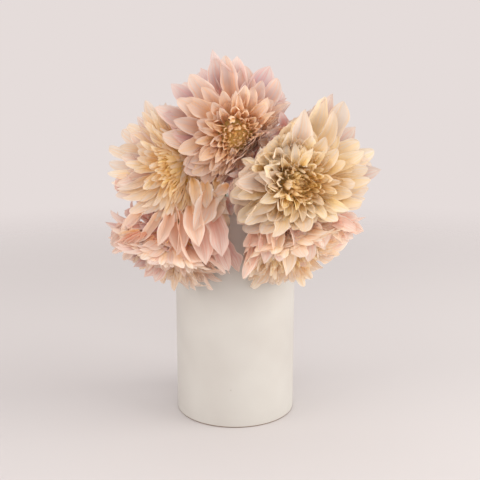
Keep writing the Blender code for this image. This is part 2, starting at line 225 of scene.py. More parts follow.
def matte_ceramic():
    """Off-white dry ceramic with drift, grain, rare specks and a dark brown line at the foot."""
    made, tree, shader = new_finish("matte_ceramic")
    place = add_node(tree, "TexCoord").outputs["Object"]
    drift = add_node(tree, "TexNoise", None, {"Vector": place, "Scale": 1000 / DRIFT_MM, "Detail": 2.0})
    body = add_node(tree, "ValToRGB", {"stops": ((0.35, "#C2BFB9"), (0.68, "#C8C6C0"))},
                    {"Fac": drift.outputs["Fac"]})
    spots = add_node(tree, "TexVoronoi", None,
                     {"Vector": place, "Scale": 1000 / SPECK_SPACING_MM, "Randomness": 1.0})
    speck_edge = SPECK_RADIUS_MM / SPECK_SPACING_MM
    speck = add_node(tree, "MapRange", None, {"Value": spots.outputs["Distance"],
                     "From Min": speck_edge * 0.5, "From Max": speck_edge, "To Min": 1.0, "To Max": 0.0})
    chosen = add_node(tree, "SeparateColor", None, {"Color": spots.outputs["Color"]})
    rare = add_node(tree, "Math", {"operation": "GREATER_THAN"},
                    {0: chosen.outputs["Red"], 1: 1 - SPECK_SHARE})
    speck_here = add_node(tree, "Math", {"operation": "MULTIPLY"},
                          {0: speck.outputs["Result"], 1: rare.outputs["Value"]})
    soft_speck = add_node(tree, "Math", {"operation": "MULTIPLY"},
                          {0: speck_here.outputs["Value"], 1: SPECK_STRENGTH})
    coat = add_node(tree, "Mix", {"data_type": "RGBA"},
                    {0: soft_speck.outputs["Value"], 6: body.outputs["Color"], 7: linear("#8F8577")})
    height = add_node(tree, "SeparateXYZ", None, {"Vector": place})
    # Dark brown over the lowest millimetre or so, a thin line at the foot.
    dark_foot_line = add_node(tree, "MapRange", None, {"Value": height.outputs["Z"], "From Min": FOOT_BEVEL * 0.7,
                    "From Max": FOOT_BEVEL * 1.2, "To Min": 1.0, "To Max": 0.0})
    colour = add_node(tree, "Mix", {"data_type": "RGBA"},
                      {0: dark_foot_line.outputs["Result"], 6: coat.outputs[2], 7: linear("#7A5A3E")})
    grain = add_node(tree, "TexNoise", None, {"Vector": place, "Scale": 1000 / GRAIN_MM, "Detail": 3.0})
    pits = add_node(tree, "Math", {"operation": "SUBTRACT"},
                    {0: grain.outputs["Fac"], 1: speck_here.outputs["Value"]})
    relief = add_node(tree, "Bump", None,
                      {"Height": pits.outputs["Value"], "Strength": 0.35, "Distance": GRAIN_DEPTH})
    rough = add_node(tree, "MapRange", None, {"Value": grain.outputs["Fac"], "To Min": 0.62, "To Max": 0.80})
    tree.links.new(colour.outputs[2], shader.inputs["Base Color"])
    tree.links.new(rough.outputs["Result"], shader.inputs["Roughness"])
    tree.links.new(relief.outputs["Normal"], shader.inputs["Normal"])
    shader.inputs["IOR"].default_value = 1.5
    return made


vase = turned("matte_vase", vase_profile, FINE_SIDES, [matte_ceramic()])
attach(vase, "root")
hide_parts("vase")
print("vase turned in", FINE_SIDES, "steps")

# %% [markdown]
# ## The flowers' plan
# A dahlia head grows its petals one by one, each turned by the golden angle from the last, so that
# they pack evenly at every size. The same plan places the plain petals of the frame: where each
# heart is, which way it faces, how far its petals reach, and how they bend where two heads press
# on each other or on the vase. It is repeated here, and more rows, columns and inner petals are
# read from it. Some lobes and shared faces, and the widths and cups of the petals, are other than
# the frame's, to come closer to the picture.

# %% Plan of the five heads and their stems
@dataclass
class Flower:
    """One dahlia: heart, facing, reach, its lobes of longer petals, and the bends of its stem.

    A lobe is (direction in degrees, extra reach, half width in degrees).
    """
    name: str
    heart: tuple
    facing: tuple
    reach: float
    roll: float
    seed: int
    lobes: tuple
    stem_foot: tuple
    stem_mouth: tuple
    stem_bend: tuple


FLOWERS = (
    Flower("top", (0.000, -0.060, 0.332), (-0.04, -0.98, 0.06), 0.079, 0.3, 11,
           ((112, 0.22, 30), (175, 0.26, 32), (270, 0.16, 40), (10, -0.10, 40)),
           (0.002, 0.042), (0.004, -0.002, 0.250),
           ((0.004, -0.004, 0.285), (0.003, -0.016, 0.316))),
    Flower("right", (0.059, -0.085, 0.283), (0.20, -0.96, 0.10), 0.088, 1.4, 23,
           ((72, 0.36, 28), (0, 0.16, 30)),
           (0.034, 0.014), (0.036, -0.034, 0.250),
           ((0.042, -0.042, 0.266), (0.050, -0.056, 0.277))),
    Flower("left", (-0.063, -0.052, 0.297), (-0.28, -0.95, 0.08), 0.082, 2.2, 37,
           ((100, -0.38, 45), (180, -0.08, 30), (285, 0.26, 55)),
           (-0.036, 0.026), (-0.036, 0.004, 0.250),
           ((-0.043, -0.004, 0.270), (-0.053, -0.018, 0.289))),
    Flower("low_left", (-0.061, -0.082, 0.226), (-0.40, -0.62, -0.68), 0.081, 0.9, 41,
           ((160, 0.02, 35), (270, -0.10, 50), (340, 0.08, 35)),
           (-0.016, 0.006), (-0.014, -0.034, 0.250),
           ((-0.014, -0.052, 0.264), (-0.016, -0.068, 0.262), (-0.029, -0.076, 0.251))),
    Flower("low_right", (0.050, -0.084, 0.231), (0.26, -0.72, -0.64), 0.083, 2.9, 53,
           ((10, 0.22, 35), (250, -0.08, 50)),
           (0.012, 0.002), (0.014, -0.038, 0.250),
           ((0.017, -0.052, 0.264), (0.023, -0.064, 0.264), (0.036, -0.070, 0.250))),
)
print(len(FLOWERS), "heads, the widest planned", round(2000 * max(f.reach for f in FLOWERS)), "mm across")

# %% [markdown]
# Each head is worked out about its own heart, with X to its right, Y up and Z the way it faces.
# These few helpers turn directions and points from there into the frame's.

# %% A head's own directions
def unit(vector):
    """The same direction with length one."""
    vector = np.asarray(vector, float)
    return vector / np.linalg.norm(vector)


def flower_axes(flower):
    """Right, up and facing directions of a flower, as the rows of a matrix."""
    facing = unit(flower.facing)
    up = unit(np.array((0.0, 0.0, 1.0)) - facing[2] * facing)
    return np.array((np.cross(up, facing), up, facing))


def at_heart(points, flower):
    """Move points made about the heart into place."""
    return points @ flower_axes(flower) + np.array(flower.heart)


print("the top head's up direction:", flower_axes(FLOWERS[0])[1].round(2))

# %% [markdown]
# ## A petal's traits
# A petal's form changes with its age, from the oldest at the back, wide, long and swept past flat,
# to the youngest at the eye, narrow, short, rolled almost into a tube and bent over the middle.
# Each line below gives one trait as a few (age, value) stops, 0 for the oldest and 1 for the
# youngest: lengths as shares of the head's reach, leans from the facing direction in degrees.

# %% Petal traits over age
TIP_REACH = ((0, 1.0), (0.2, 0.96), (0.38, 0.85), (0.6, 0.68), (0.8, 0.52), (1, 0.37))
PETAL_WIDTH = ((0, 0.33), (0.2, 0.33), (0.38, 0.28), (0.6, 0.20), (0.7, 0.15), (0.8, 0.10), (1, 0.045))
ROOT_LEAN = ((0, 104), (0.2, 82), (0.5, 54), (0.8, 26), (1, 4))
TIP_LEAN = ((0, 107), (0.15, 92), (0.35, 71), (0.6, 47), (0.8, 27), (1, 3))
CUPPING = ((0, 0.5), (0.3, 0.9), (0.5, 1.15), (0.65, 1.5), (0.8, 1.8), (1, 1.6))
ROLLING = ((0, 0.0), (0.3, 0.30), (0.5, 0.6), (0.8, 0.8), (1, 0.8))
INCURVE = ((0, 0.0), (0.4, 2.0), (0.6, 5.0), (0.8, 6.0), (1, 4.0))
RUFFLE = ((0, 0.15), (0.3, 0.17), (0.6, 0.20), (1, 0.15))
LOOSE = ((0, 0.5), (0.25, 0.6), (0.6, 0.8), (0.8, 0.6), (0.9, 0.35), (1, 0.3))
CURL = ((0, 12), (0.4, 10), (0.6, 8), (0.8, 4), (1, 0))
POINTED = ((0, 1.2), (0.2, 0.78), (0.4, 0.56), (0.6, 0.50), (1, 0.5))


def ramp(age, stops):
    """A value for a petal's age, from (age, value) stops."""
    ages, values = zip(*stops)
    return float(np.interp(age, ages, values))


def aged_petal(age, flower):
    """The form that a petal of one head has by its age alone."""
    return {
        "age": age,
        "tip": flower.reach * ramp(age, TIP_REACH),
        "width": flower.reach * ramp(age, PETAL_WIDTH),
        "root_lean": math.radians(ramp(age, ROOT_LEAN)),
        "tip_lean": math.radians(ramp(age, TIP_LEAN)),
        "incurve": math.radians(ramp(age, INCURVE)),
        "cup": ramp(age, CUPPING),
        "rolling": ramp(age, ROLLING),
        "twist": 0.0,
        "bend": 0.0,
        "colour_age": age,
    }


for age in (0, 0.5, 1):
    print("at age", age, "a top petal is", round(1000 * aged_petal(age, FLOWERS[0])["width"]), "mm wide")

# %% [markdown]
# No two petals are alike, and no two heads either. A habit says how a whole head departs from the
# plan: how untidy it is, how far its petals are cupped, how much longer and, in degrees, how much
# flatter those between eye and edge are, how broad its petals are, and how far the eye lies off
# the middle. Each petal then draws its own departures from these ranges, in this order, by a
# seeded generator, so that the same flowers grow every time.

# %% Habits and small departures
LENGTH_KEPT = 0.85
LAYER_DEPTH = 0.005
STEADY = 0.4
OWN_DRAWS = {
    "direction": (-0.32, 0.32), "tip": (-0.15, 0.15), "width": (-0.12, 0.12), "root_lean": (-5, 5),
    "tip_lean": (-10, 10), "cup": (0.7, 1.2), "twist": (-0.45, 0.45), "bend": (-0.16, 0.16),
    "fold": (0.0, 0.30), "hook": (-12, 12), "layer": (0, LAYER_DEPTH), "ruffle": (0.4, 1.6),
    "phase": (0, math.tau), "waves": (1.2, 2.8), "point": (0.85, 1.2), "tint": (0, 1),
}


@dataclass
class Habit:
    """How one head departs from the common plan."""
    freedom: float
    openness: float
    stretch: float
    spread: float
    breadth: float
    eye_right: float
    eye_up: float


HABITS = {
    "top": Habit(1.0, 1.0, 0.0, 0.0, 1.0, 0.13, -0.12),
    "right": Habit(1.0, 0.95, 0.04, 3.0, 0.95, 0.08, -0.08),
    "left": Habit(0.8, 0.50, 0.21, 15.0, 0.62, 0.65, 0.05),
    "low_left": Habit(1.0, 0.8, 0.01, 4.0, 0.70, 0.0, 0.0),
    "low_right": Habit(1.0, 0.85, 0.0, 2.0, 0.82, 0.0, 0.0),
}


def drawn(draw, ranges):
    """A value for each name, drawn from its range in the order that they stand in."""
    return {name: draw.uniform(*limits) for name, limits in ranges.items()}


def loosen(trait, flower, draw):
    """Give a petal its own small departures from the plan."""
    habit = HABITS[flower.name]
    loose = ramp(trait["age"], LOOSE) * habit.freedom
    own = drawn(draw, OWN_DRAWS)
    trait["direction"] += own["direction"] * max(0.0, loose - STEADY)
    trait["tip"] *= 1 + own["tip"] * loose
    trait["width"] *= 1 + own["width"]
    trait["root_lean"] += math.radians(own["root_lean"]) * loose
    trait["tip_lean"] += math.radians(own["tip_lean"]) * loose
    trait["cup"] *= own["cup"] * habit.openness
    trait["twist"] += own["twist"] * loose
    trait["bend"] += own["bend"] * loose
    trait["fold"] = own["fold"] * (0.5 + loose)
    trait["hook"] = math.radians(ramp(trait["age"], CURL) + own["hook"] * loose)
    trait["ruffle"] = ramp(trait["age"], RUFFLE) * own["ruffle"] * habit.freedom
    trait["point"] = ramp(trait["age"], POINTED) * own["point"]
    trait["kept"] = LENGTH_KEPT
    return trait | {name: own[name] for name in ("layer", "phase", "waves", "tint")}


print("each petal draws", len(OWN_DRAWS), "departures of its own")

# %% [markdown]
# The outline of a head is what the eye compares first, and it is made by a few old petals. Their
# tips are placed where they show in the picture. Each line gives such tips as (pixel x, pixel y,
# depth along Y, petal width), and the petal's direction, lean and length follow from the point.

# %% Petals aimed at the outline
AIMED = {
    "top": ((212, 49, -0.056, 0.014), (226, 62, -0.054, 0.020), (237, 56, -0.056, 0.020),
            (252, 76, -0.062, 0.018), (270, 66, -0.056, 0.024), (200, 67, -0.060, 0.018),
            (169, 85, -0.058, 0.019), (160, 117, -0.056, 0.026), (168, 135, -0.066, 0.022),
            (287, 98, -0.062, 0.009)),
    "right": ((328, 90, -0.078, 0.023), (305, 110, -0.084, 0.027), (355, 126, -0.074, 0.020),
              (367, 158, -0.080, 0.024), (379, 174, -0.070, 0.023), (364, 195, -0.072, 0.013),
              (227, 226, -0.112, 0.018), (238, 228, -0.108, 0.012)),
    "left": ((148, 110, -0.045, 0.010), (132, 117, -0.043, 0.014), (125, 134, -0.042, 0.018),
             (117, 147, -0.044, 0.016), (113, 157, -0.046, 0.018), (117, 170, -0.050, 0.018),
             (110, 188, -0.052, 0.020)),
    "low_left": ((105, 222, -0.062, 0.017), (108, 237, -0.070, 0.017), (114, 246, -0.078, 0.016),
                 (123, 258, -0.086, 0.014), (133, 267, -0.092, 0.013), (144, 277, -0.098, 0.013),
                 (155, 282, -0.100, 0.013)),
    "low_right": ((366, 217, -0.060, 0.013), (358, 228, -0.066, 0.014), (350, 241, -0.072, 0.018),
                  (327, 256, -0.084, 0.014), (314, 260, -0.090, 0.014), (306, 267, -0.094, 0.013)),
}
AIMED_WIDTH = 1.15
AIMED_DRAWS = {
    "droop": (-2, 8), "cup": (0.3, 0.6), "twist": (-0.15, 0.15), "age": (0.0, 0.1),
    "colour_age": (0.0, 0.1), "fold": (0.05, 0.35), "layer": (0, LAYER_DEPTH), "ruffle": (0.08, 0.2),
    "phase": (0, math.tau), "waves": (1.0, 2.0), "point": (0.9, 1.3), "tint": (0, 1),
}
STRAIGHT = {"bend": 0.0, "rolling": 0.0, "incurve": 0.0, "hook": 0.0}


def aimed_petal(flower, aim, draw):
    """An old petal whose tip shows at its place in the picture."""
    local = flower_axes(flower) @ (seen_at(aim[:2], aim[2]) - np.array(flower.heart))
    length = np.linalg.norm(local)
    lean = math.acos(local[2] / length)
    own = drawn(draw, AIMED_DRAWS)
    return own | STRAIGHT | {
        "direction": math.atan2(local[1], local[0]),
        "tip": length,
        "width": aim[3] * AIMED_WIDTH,
        "root_lean": lean - math.radians(own["droop"]),
        "tip_lean": lean,
        "kept": 1.0,
    }


print("aimed petals:", sum(len(aims) for aims in AIMED.values()))

# %% [markdown]
# In the seams, where a head presses on its neighbour, a real one has short, crumpled petals that
# found no room. A filling adds such petals to one side of a head, as (direction and spread in
# degrees, number). They take the form of middle ages, lean further forward, and ruffle more.

# %% Petals that fill a seam
FILLINGS = {
    "top": (318, 42, 26),
    "right": (140, 38, 18),
    "low_left": (95, 45, 16),
    "low_right": (120, 40, 10),
}
FILLING_KEPT = 0.35
FILLING_DRAWS = {
    "age": (0.15, 0.55), "direction": (-1, 1), "tip": (0.95, 1.15), "width": (0.8, 1.0),
    "root_lean": (4, 16), "tip_lean": (4, 22), "colour_age": (0.10, 0.40),
}
CRUMPLED_DRAWS = {"ruffle": (0.20, 0.45), "layer": (-0.003, 0.004)}


def filling_petal(flower, direction, spread, draw):
    """A ruffled petal that fills the seam towards a neighbour."""
    own = drawn(draw, FILLING_DRAWS)
    trait = aged_petal(own["age"], flower)
    trait["direction"] = math.radians(direction + own["direction"] * spread)
    trait["tip"] *= own["tip"]
    trait["width"] *= own["width"]
    trait["root_lean"] -= math.radians(own["root_lean"])
    trait["tip_lean"] -= math.radians(own["tip_lean"])
    trait["colour_age"] = own["colour_age"]
    return loosen(trait, flower, draw) | drawn(draw, CRUMPLED_DRAWS) | {"kept": FILLING_KEPT}


print("filling petals:", sum(count for _, _, count in FILLINGS.values()))

# %% [markdown]
# Now a head's petals can be listed, oldest first. The first ones follow each other in age as they
# do in the frame, and the many young ones crowd towards the eye. The oldest stay a little shorter
# than planned, so that the aimed petals make the outline.

# %% All petals of a head
GOLDEN_ANGLE = math.pi * (3 - math.sqrt(5))
OUTER_PETALS = 40
INNER_PETALS = 190
AGE_STEP = 1 / 100
EYE_CROWDING = 0.70
HIDDEN_SHARE = 0.86
LOBE_FADE = 1.6
HIDDEN_FADE = 4
PLAN_DRAWS = {
    "direction": (-0.06, 0.06), "tip": (0.95, 1.05), "width": (0.92, 1.08),
    "tip_lean": (-2.5, 2.5), "twist": (-0.12, 0.12), "bend": (-0.06, 0.06),
}


def lobe_reach(flower, direction):
    """How much further than the flower's reach a petal goes in a direction."""
    factor = 1.0
    for lobe_direction, extra, half_width in flower.lobes:
        off = math.remainder(direction - math.radians(lobe_direction), math.tau)
        factor += extra * math.exp(-(off / math.radians(half_width)) ** 2)
    return factor


def petal_ages():
    """Ages of a head's petals, evenly spaced at first and crowded towards the eye."""
    start = OUTER_PETALS * AGE_STEP
    shares = [(index / (INNER_PETALS - 1)) ** EYE_CROWDING for index in range(INNER_PETALS)]
    return [index * AGE_STEP for index in range(OUTER_PETALS)] + [start + (1 - start) * s for s in shares]


def petal_traits(flower):
    """Traits of the petals of a head: the planned ones, oldest first, then fillings and aimed ones."""
    draw = random.Random(flower.seed)
    fine_draw = random.Random(flower.seed + 1000)
    habit = HABITS[flower.name]
    traits = []
    for index, age in enumerate(petal_ages()):
        own = drawn(draw, PLAN_DRAWS)
        direction = flower.roll + index * GOLDEN_ANGLE + own["direction"]
        lobe = 1 + (lobe_reach(flower, direction) - 1) * max(0.0, 1 - LOBE_FADE * age)
        lobe *= HIDDEN_SHARE + (1 - HIDDEN_SHARE) * min(1.0, HIDDEN_FADE * age)
        between = math.sin(math.pi * age)
        flatter = math.radians(habit.spread * between)
        trait = aged_petal(age, flower) | {"direction": direction}
        trait["tip"] *= lobe * (1 + habit.stretch * between) * own["tip"]
        trait["width"] *= habit.breadth * own["width"]
        trait["root_lean"] += flatter
        trait["tip_lean"] += flatter + math.radians(own["tip_lean"] * (1 - age))
        trait["twist"] = own["twist"] * (1 - age)
        trait["bend"] = own["bend"] * (1 - age)
        traits.append(loosen(trait, flower, fine_draw))
    if flower.name in FILLINGS:
        direction, spread, count = FILLINGS[flower.name]
        traits += [filling_petal(flower, direction, spread, fine_draw) for _ in range(count)]
    return traits + [aimed_petal(flower, aim, fine_draw) for aim in AIMED[flower.name]]


print("petals planned for a head:", len(petal_ages()))

# %% [markdown]
# ## One petal's surface
# A petal is a grid of points: s runs from root to tip and v from edge to edge. Across the rib the
# blade is an arc, deeper for young petals, whose margins also roll in towards each other near the
# root. A shallow groove runs along the middle with a soft ridge on either side, and the margins of
# old petals are loose enough to ruffle. Working on whole arrays keeps thousands of petals quick.

# %% Outline and cross-section
WIDEST_AT = 0.66
ROOT_WIDTH = 0.14
SWELL_POWER = 1.2
TIP_POWER = 2.6
ROLL_NEAR_RIB = 0.6
ROLL_NEAR_MARGIN = 0.7


def petal_outline(s, point=1.0):
    """Half width of a petal along its length, one at its widest: narrow root, pointed tip."""
    grown = np.sin(0.5 * math.pi * np.minimum(1.0, s / WIDEST_AT)) ** SWELL_POWER
    swell = ROOT_WIDTH + (1 - ROOT_WIDTH) * grown
    past = np.maximum(0.0, s - WIDEST_AT) / (1 - WIDEST_AT)
    return swell * np.maximum(0.0, 1 - past ** TIP_POWER) ** point


def rolled_section(cup, v):
    """A cross-section that is flat in the middle and rolls up towards its margins."""
    slope = cup * (ROLL_NEAR_RIB * v + ROLL_NEAR_MARGIN * v ** 3)
    between = (slope[:, 1:] + slope[:, :-1]) / 2
    step = np.diff(v, axis=1)
    start = np.zeros((len(slope), 1))
    across = np.concatenate((start, np.cumsum(np.cos(between) * step, axis=1)), axis=1)
    lift = np.concatenate((start, np.cumsum(np.sin(between) * step, axis=1)), axis=1)
    middle = v.shape[1] // 2
    return across - across[:, middle:middle + 1], lift - lift[:, middle:middle + 1]


print("a petal is widest at", WIDEST_AT, "of its length")

# %% [markdown]
# A ruffle is two waves along the margin, one about twice as fast as the other, so that no ruffle
# repeats. It is nothing at the rib, and grows towards the margins and away from the root. The
# blade puts all of it together about the rib, with a twist that grows towards the tip. Groove and
# ridges fade out where the petal is narrow.

# %% Ruffles, and the blade about its rib
TIP_WIDTH = 0.0005
GROOVE_DEPTH = 0.0007
GROOVE_WIDTH = 0.16
RIDGE_HEIGHT = 0.0004
RIDGE_PLACE = 0.42
RELIEF_POWER = 0.7
FULL_RELIEF = 0.008
CREASE = 0.1
ROOT_CUP = 0.55
ROOT_ROLL = 0.9
ROLL_FADE = 1.5
MARGIN_SHIFT = 1.3
SECOND_WAVE = 2.3
SECOND_SHARE = 0.5
SECOND_SHIFT = 2.1
RUFFLE_GROWTH = 3
MARGIN_POWER = 2.5
SIDE_WAVE = 1.7
SIDE_SHARE = 0.35


def ruffled(across, lift, half, trait, s, v):
    """Wave the margins up and down and in and out, more towards the tip."""
    place = math.tau * trait["waves"] * s + trait["phase"]
    second = np.sin(SECOND_WAVE * place + SECOND_SHIFT * np.sign(v))
    wave = np.sin(place + MARGIN_SHIFT * np.sign(v)) + SECOND_SHARE * second
    loose_edge = half * trait["ruffle"] * np.minimum(1.0, RUFFLE_GROWTH * s)
    lift = lift + loose_edge * np.abs(v) ** MARGIN_POWER * wave
    sideways = SIDE_SHARE * trait["ruffle"] * np.cos(SIDE_WAVE * place + np.sign(v)) * np.abs(v)
    return across * (1 + sideways), lift


def blade(rib, side, inner_face, trait, s, v):
    """The petal's surface about its rib, cupped, folded, grooved and ruffled."""
    twist = (trait["twist"] * s)[..., None]
    edge = np.cos(twist) * side + np.sin(twist) * inner_face
    rise = np.cos(twist) * inner_face - np.sin(twist) * side
    half = np.maximum(0.5 * trait["width"] * petal_outline(s, trait["point"]), TIP_WIDTH / 2)
    cup = trait["cup"] * (ROOT_CUP + (1 - ROOT_CUP) * s)
    cup = cup + trait["rolling"] * ROOT_ROLL * (1 - s) ** ROLL_FADE
    across, lift = rolled_section(cup, v)
    across = half * across
    lift = half * lift + half * trait["fold"] * np.sqrt(v * v + CREASE ** 2)
    body = np.sin(math.pi * np.clip(s, 0, 1)) ** RELIEF_POWER * np.minimum(1.0, half / FULL_RELIEF)
    lift = lift - GROOVE_DEPTH * body * np.exp(-(v / GROOVE_WIDTH) ** 2)
    lift = lift + RIDGE_HEIGHT * body * np.exp(-((np.abs(v) - RIDGE_PLACE) / GROOVE_WIDTH) ** 2)
    across, lift = ruffled(across, lift, half, trait, s, v)
    return rib + across[..., None] * edge + lift[..., None] * rise


print("groove", GROOVE_DEPTH * 1000, "mm deep, ridges", RIDGE_HEIGHT * 1000, "mm high")

# %% [markdown]
# A planned petal's rib runs out from the heart while it leans over, curves in a little, and hooks
# back at the tip. At the heart a dome closes the view down between the youngest petals. The whole
# middle is then sheared sideways, which puts the eye where the picture has it, while the oldest
# petals, which lie almost flat, hardly move.

# %% Petals from the heart, dome and eye
PETAL_ROOT = 0.011
HOOK_FROM = 0.65
LEAN_POWER = 1.4
INCURVE_POWER = 0.8
INCURVE_BACK = 0.9
DOME_RADIUS = 0.0285
DOME_EDGE = math.radians(100)


def petal_grid(trait, s, v):
    """Points of a petal about the heart for a column of shares s and a row of shares v."""
    radius = PETAL_ROOT + (trait["tip"] - PETAL_ROOT) * s
    lean = trait["root_lean"] + (trait["tip_lean"] - trait["root_lean"]) * s ** LEAN_POWER
    lean = lean + trait["incurve"] * (np.sin(math.pi * s ** INCURVE_POWER) - INCURVE_BACK * s ** 3)
    lean = lean + trait["hook"] * np.clip((s - HOOK_FROM) / (1 - HOOK_FROM), 0, 1) ** 2
    direction = trait["direction"] + trait["bend"] * s * s
    zero = np.zeros_like(s)
    outward = np.stack((np.cos(direction), np.sin(direction), zero), -1)
    side = np.stack((-np.sin(direction), np.cos(direction), zero), -1)
    forward = np.array((0.0, 0.0, 1.0))
    lean = lean[..., None]
    rib = radius[..., None] * (np.sin(lean) * outward + np.cos(lean) * forward)
    inner_face = np.sin(lean) * forward - np.cos(lean) * outward
    return blade(rib, side, inner_face, trait, s, v)


def dome_grid(s, v):
    """Points of the dome at the heart, s from its top down and v around it."""
    lean = DOME_EDGE * s
    turn = math.pi * v
    return DOME_RADIUS * np.stack((np.sin(lean) * np.cos(turn), np.sin(lean) * np.sin(turn),
                                   np.cos(lean) + 0 * turn), -1)


def lean_eye(points, flower):
    """Shift what stands forward of the heart sideways, so that the eye lies off the middle."""
    forward = np.maximum(points[..., 2:], 0)
    habit = HABITS[flower.name]
    return points + forward * np.array((habit.eye_right, habit.eye_up, 0.0))


print("petals start", PETAL_ROOT * 1000, "mm from the heart, the dome is", DOME_RADIUS * 1000)

# %% [markdown]
# ## Giving way
# Where two heads meet, their petals give way to each other: nearer than a couple of centimetres to
# the shared face they slow down, bend up along it, and settle just behind it. The frame's petals
# were bent by these rules too, so the finer ones stay in about the same room. The tufts and the
# hung petals further down only keep off the vase. A contact is two heads, how far along from the
# first heart to the second the face lies, and the way it looks.

# %% Faces shared by two heads
CONTACTS = (
    ("top", "right", 0.44, (0.62, -0.20, -0.60)),
    ("top", "left", 0.50, (-0.55, 0.75, -0.30)),
    ("top", "low_left", 0.62, (-0.40, -0.20, -0.90)),
    ("top", "low_right", 0.60, (0.40, -0.20, -0.90)),
    ("right", "left", 0.50, (-1.0, 0.30, 0.0)),
    ("right", "low_left", 0.60, (-0.90, 0.0, -0.45)),
    ("right", "low_right", 0.50, (0.22, 0.40, -0.88)),
    ("left", "low_left", 0.60, (-0.10, 0.52, -0.85)),
    ("left", "low_right", 0.62, (0.80, -0.20, -0.50)),
    ("low_left", "low_right", 0.58, (1.0, 0.0, 0.0)),
)
CRUMPLED = {"top", "right"}
GRAZING = 0.05


def shared_faces(flower):
    """Planes that a flower's petals stay behind: point, outward normal, and whether it crumples them."""
    hearts = {other.name: np.array(other.heart) for other in FLOWERS}
    faces = []
    for first, second, share, looks in CONTACTS:
        if flower.name in (first, second):
            point = hearts[first] + share * (hearts[second] - hearts[first])
            normal = unit(looks) if flower.name == first else -unit(looks)
            faces.append((point, normal, {first, second} == CRUMPLED))
    return faces


def shorten(trait, flower, faces):
    """Keep only part of the length that would go through a neighbouring flower."""
    lean = trait["tip_lean"]
    direction = trait["direction"]
    ray = np.array((math.sin(lean) * math.cos(direction), math.sin(lean) * math.sin(direction),
                    math.cos(lean))) @ flower_axes(flower)
    room = trait["tip"]
    for point, normal, _ in faces:
        closing = ray @ normal
        if closing > GRAZING:
            room = min(room, (point - np.array(flower.heart)) @ normal / closing)
    trait["tip"] = room + (trait["tip"] - room) * trait["kept"]


print(len(CONTACTS), "contacts between the heads")

# %% [markdown]
# Pressing works on points. How deep a point lies behind a face is squeezed so that it never comes
# nearer than a margin, first softly, with a lift along the face, and then once more firmly. The
# vase's wall pushes petals out in the same way, less and less above its rim. In the tightest seam
# the petals crumple: waves along the seam lift them and draw them back.

# %% Petals give way to neighbours and vase
PRESS_DEPTH = 0.020
PRESS_LIFT = 0.70
PRESS_MARGIN = 0.0007
SETTLE_DEPTH = 0.004
VASE_CLEARANCE = 0.0035
VASE_PRESS_DEPTH = 0.012
VASE_SETTLE_DEPTH = 0.003
RIM_FULL = 0.008
RIM_FADE = 0.030
CRUMPLE_DEPTH = 0.009
CRUMPLE_LIFT = 0.0030
CRUMPLE_WIDTH = 0.0012
CRUMPLE_WAVE = 0.020
CROSS_WAVE = 1.4


def held_depth(depth, soft, margin):
    """Depth behind a face after pressing: unchanged far inside, and never less than the margin."""
    inside = depth - margin
    return margin + np.where(inside < soft, soft * np.exp(np.minimum(inside - soft, 0) / soft), inside)


def clear_of_vase(points, soft):
    """Push points out from the vase's wall, fading out above its rim."""
    radius = np.hypot(points[..., 0], points[..., 1])
    depth = radius - VASE_RADIUS
    fade = np.clip((VASE_HEIGHT + RIM_FADE - points[..., 2]) / (RIM_FADE - RIM_FULL), 0, 1)
    push = (held_depth(depth, soft, VASE_CLEARANCE) - depth) * fade
    scale = 1 + push / np.maximum(radius, 0.00001)
    return points * np.stack((scale, scale, np.ones_like(scale)), -1)


def crumple(points, point, normal, along_face, seam, phase):
    """Ruffle the parts of a petal that are squeezed against a shared face."""
    near = np.exp(-np.maximum((point - points) @ normal, 0) / CRUMPLE_DEPTH)[..., None]
    place = (math.tau * (points @ seam) / CRUMPLE_WAVE + phase)[..., None]
    points = points + CRUMPLE_LIFT * near * np.sin(place) * along_face
    return points - CRUMPLE_WIDTH * near * (1 + np.sin(CROSS_WAVE * place + 2 * phase)) * normal


def press(points, flower, faces, trait):
    """Bend points away from the neighbouring flowers and from the vase, then let them settle."""
    facing = unit(flower.facing)
    margin = PRESS_MARGIN + trait["layer"]
    for lift, soft, wall_soft in ((PRESS_LIFT, PRESS_DEPTH, VASE_PRESS_DEPTH),
                                  (0, SETTLE_DEPTH, VASE_SETTLE_DEPTH)):
        for point, normal, crumpled in faces:
            depth = (point - points) @ normal
            push = (held_depth(depth, soft, margin) - depth)[..., None]
            along_face = facing - (facing @ normal) * normal
            points = points - push * normal + lift * push * along_face
            if lift and crumpled:
                seam = unit(np.cross(normal, facing))
                points = crumple(points, point, normal, along_face, seam, trait["phase"])
        points = clear_of_vase(points, wall_soft)
    return points


print("petals keep", PRESS_MARGIN * 1000, "mm from a shared face,", VASE_CLEARANCE * 1000, "from the wall")

# %% [markdown]
# ## Tufts
# Along some seams the plan alone leaves holes, because real petals bend there in ways that no plan
# has. A tuft is a row of places in such a seam, from which short ruffled petals fan out: towards
# the viewer where they show, or turned every way where they only close a gap behind others.

# %% Petals that fan out of a seam
@dataclass
class Tuft:
    """A row of places from start to end, and the ranges that its petals are drawn from.

    The fan is the direction in degrees at the start, at the end, and the spread about it. Leans
    are degrees from the way the tuft faces, and the arch is how much less the roots lean.
    """
    flower: str
    start: tuple
    end: tuple
    facing: tuple
    places: int
    petals: int
    fan: tuple
    leans: tuple
    arch: float
    reach: tuple
    width: tuple
    fold: tuple
    ruffle: tuple
    ages: tuple


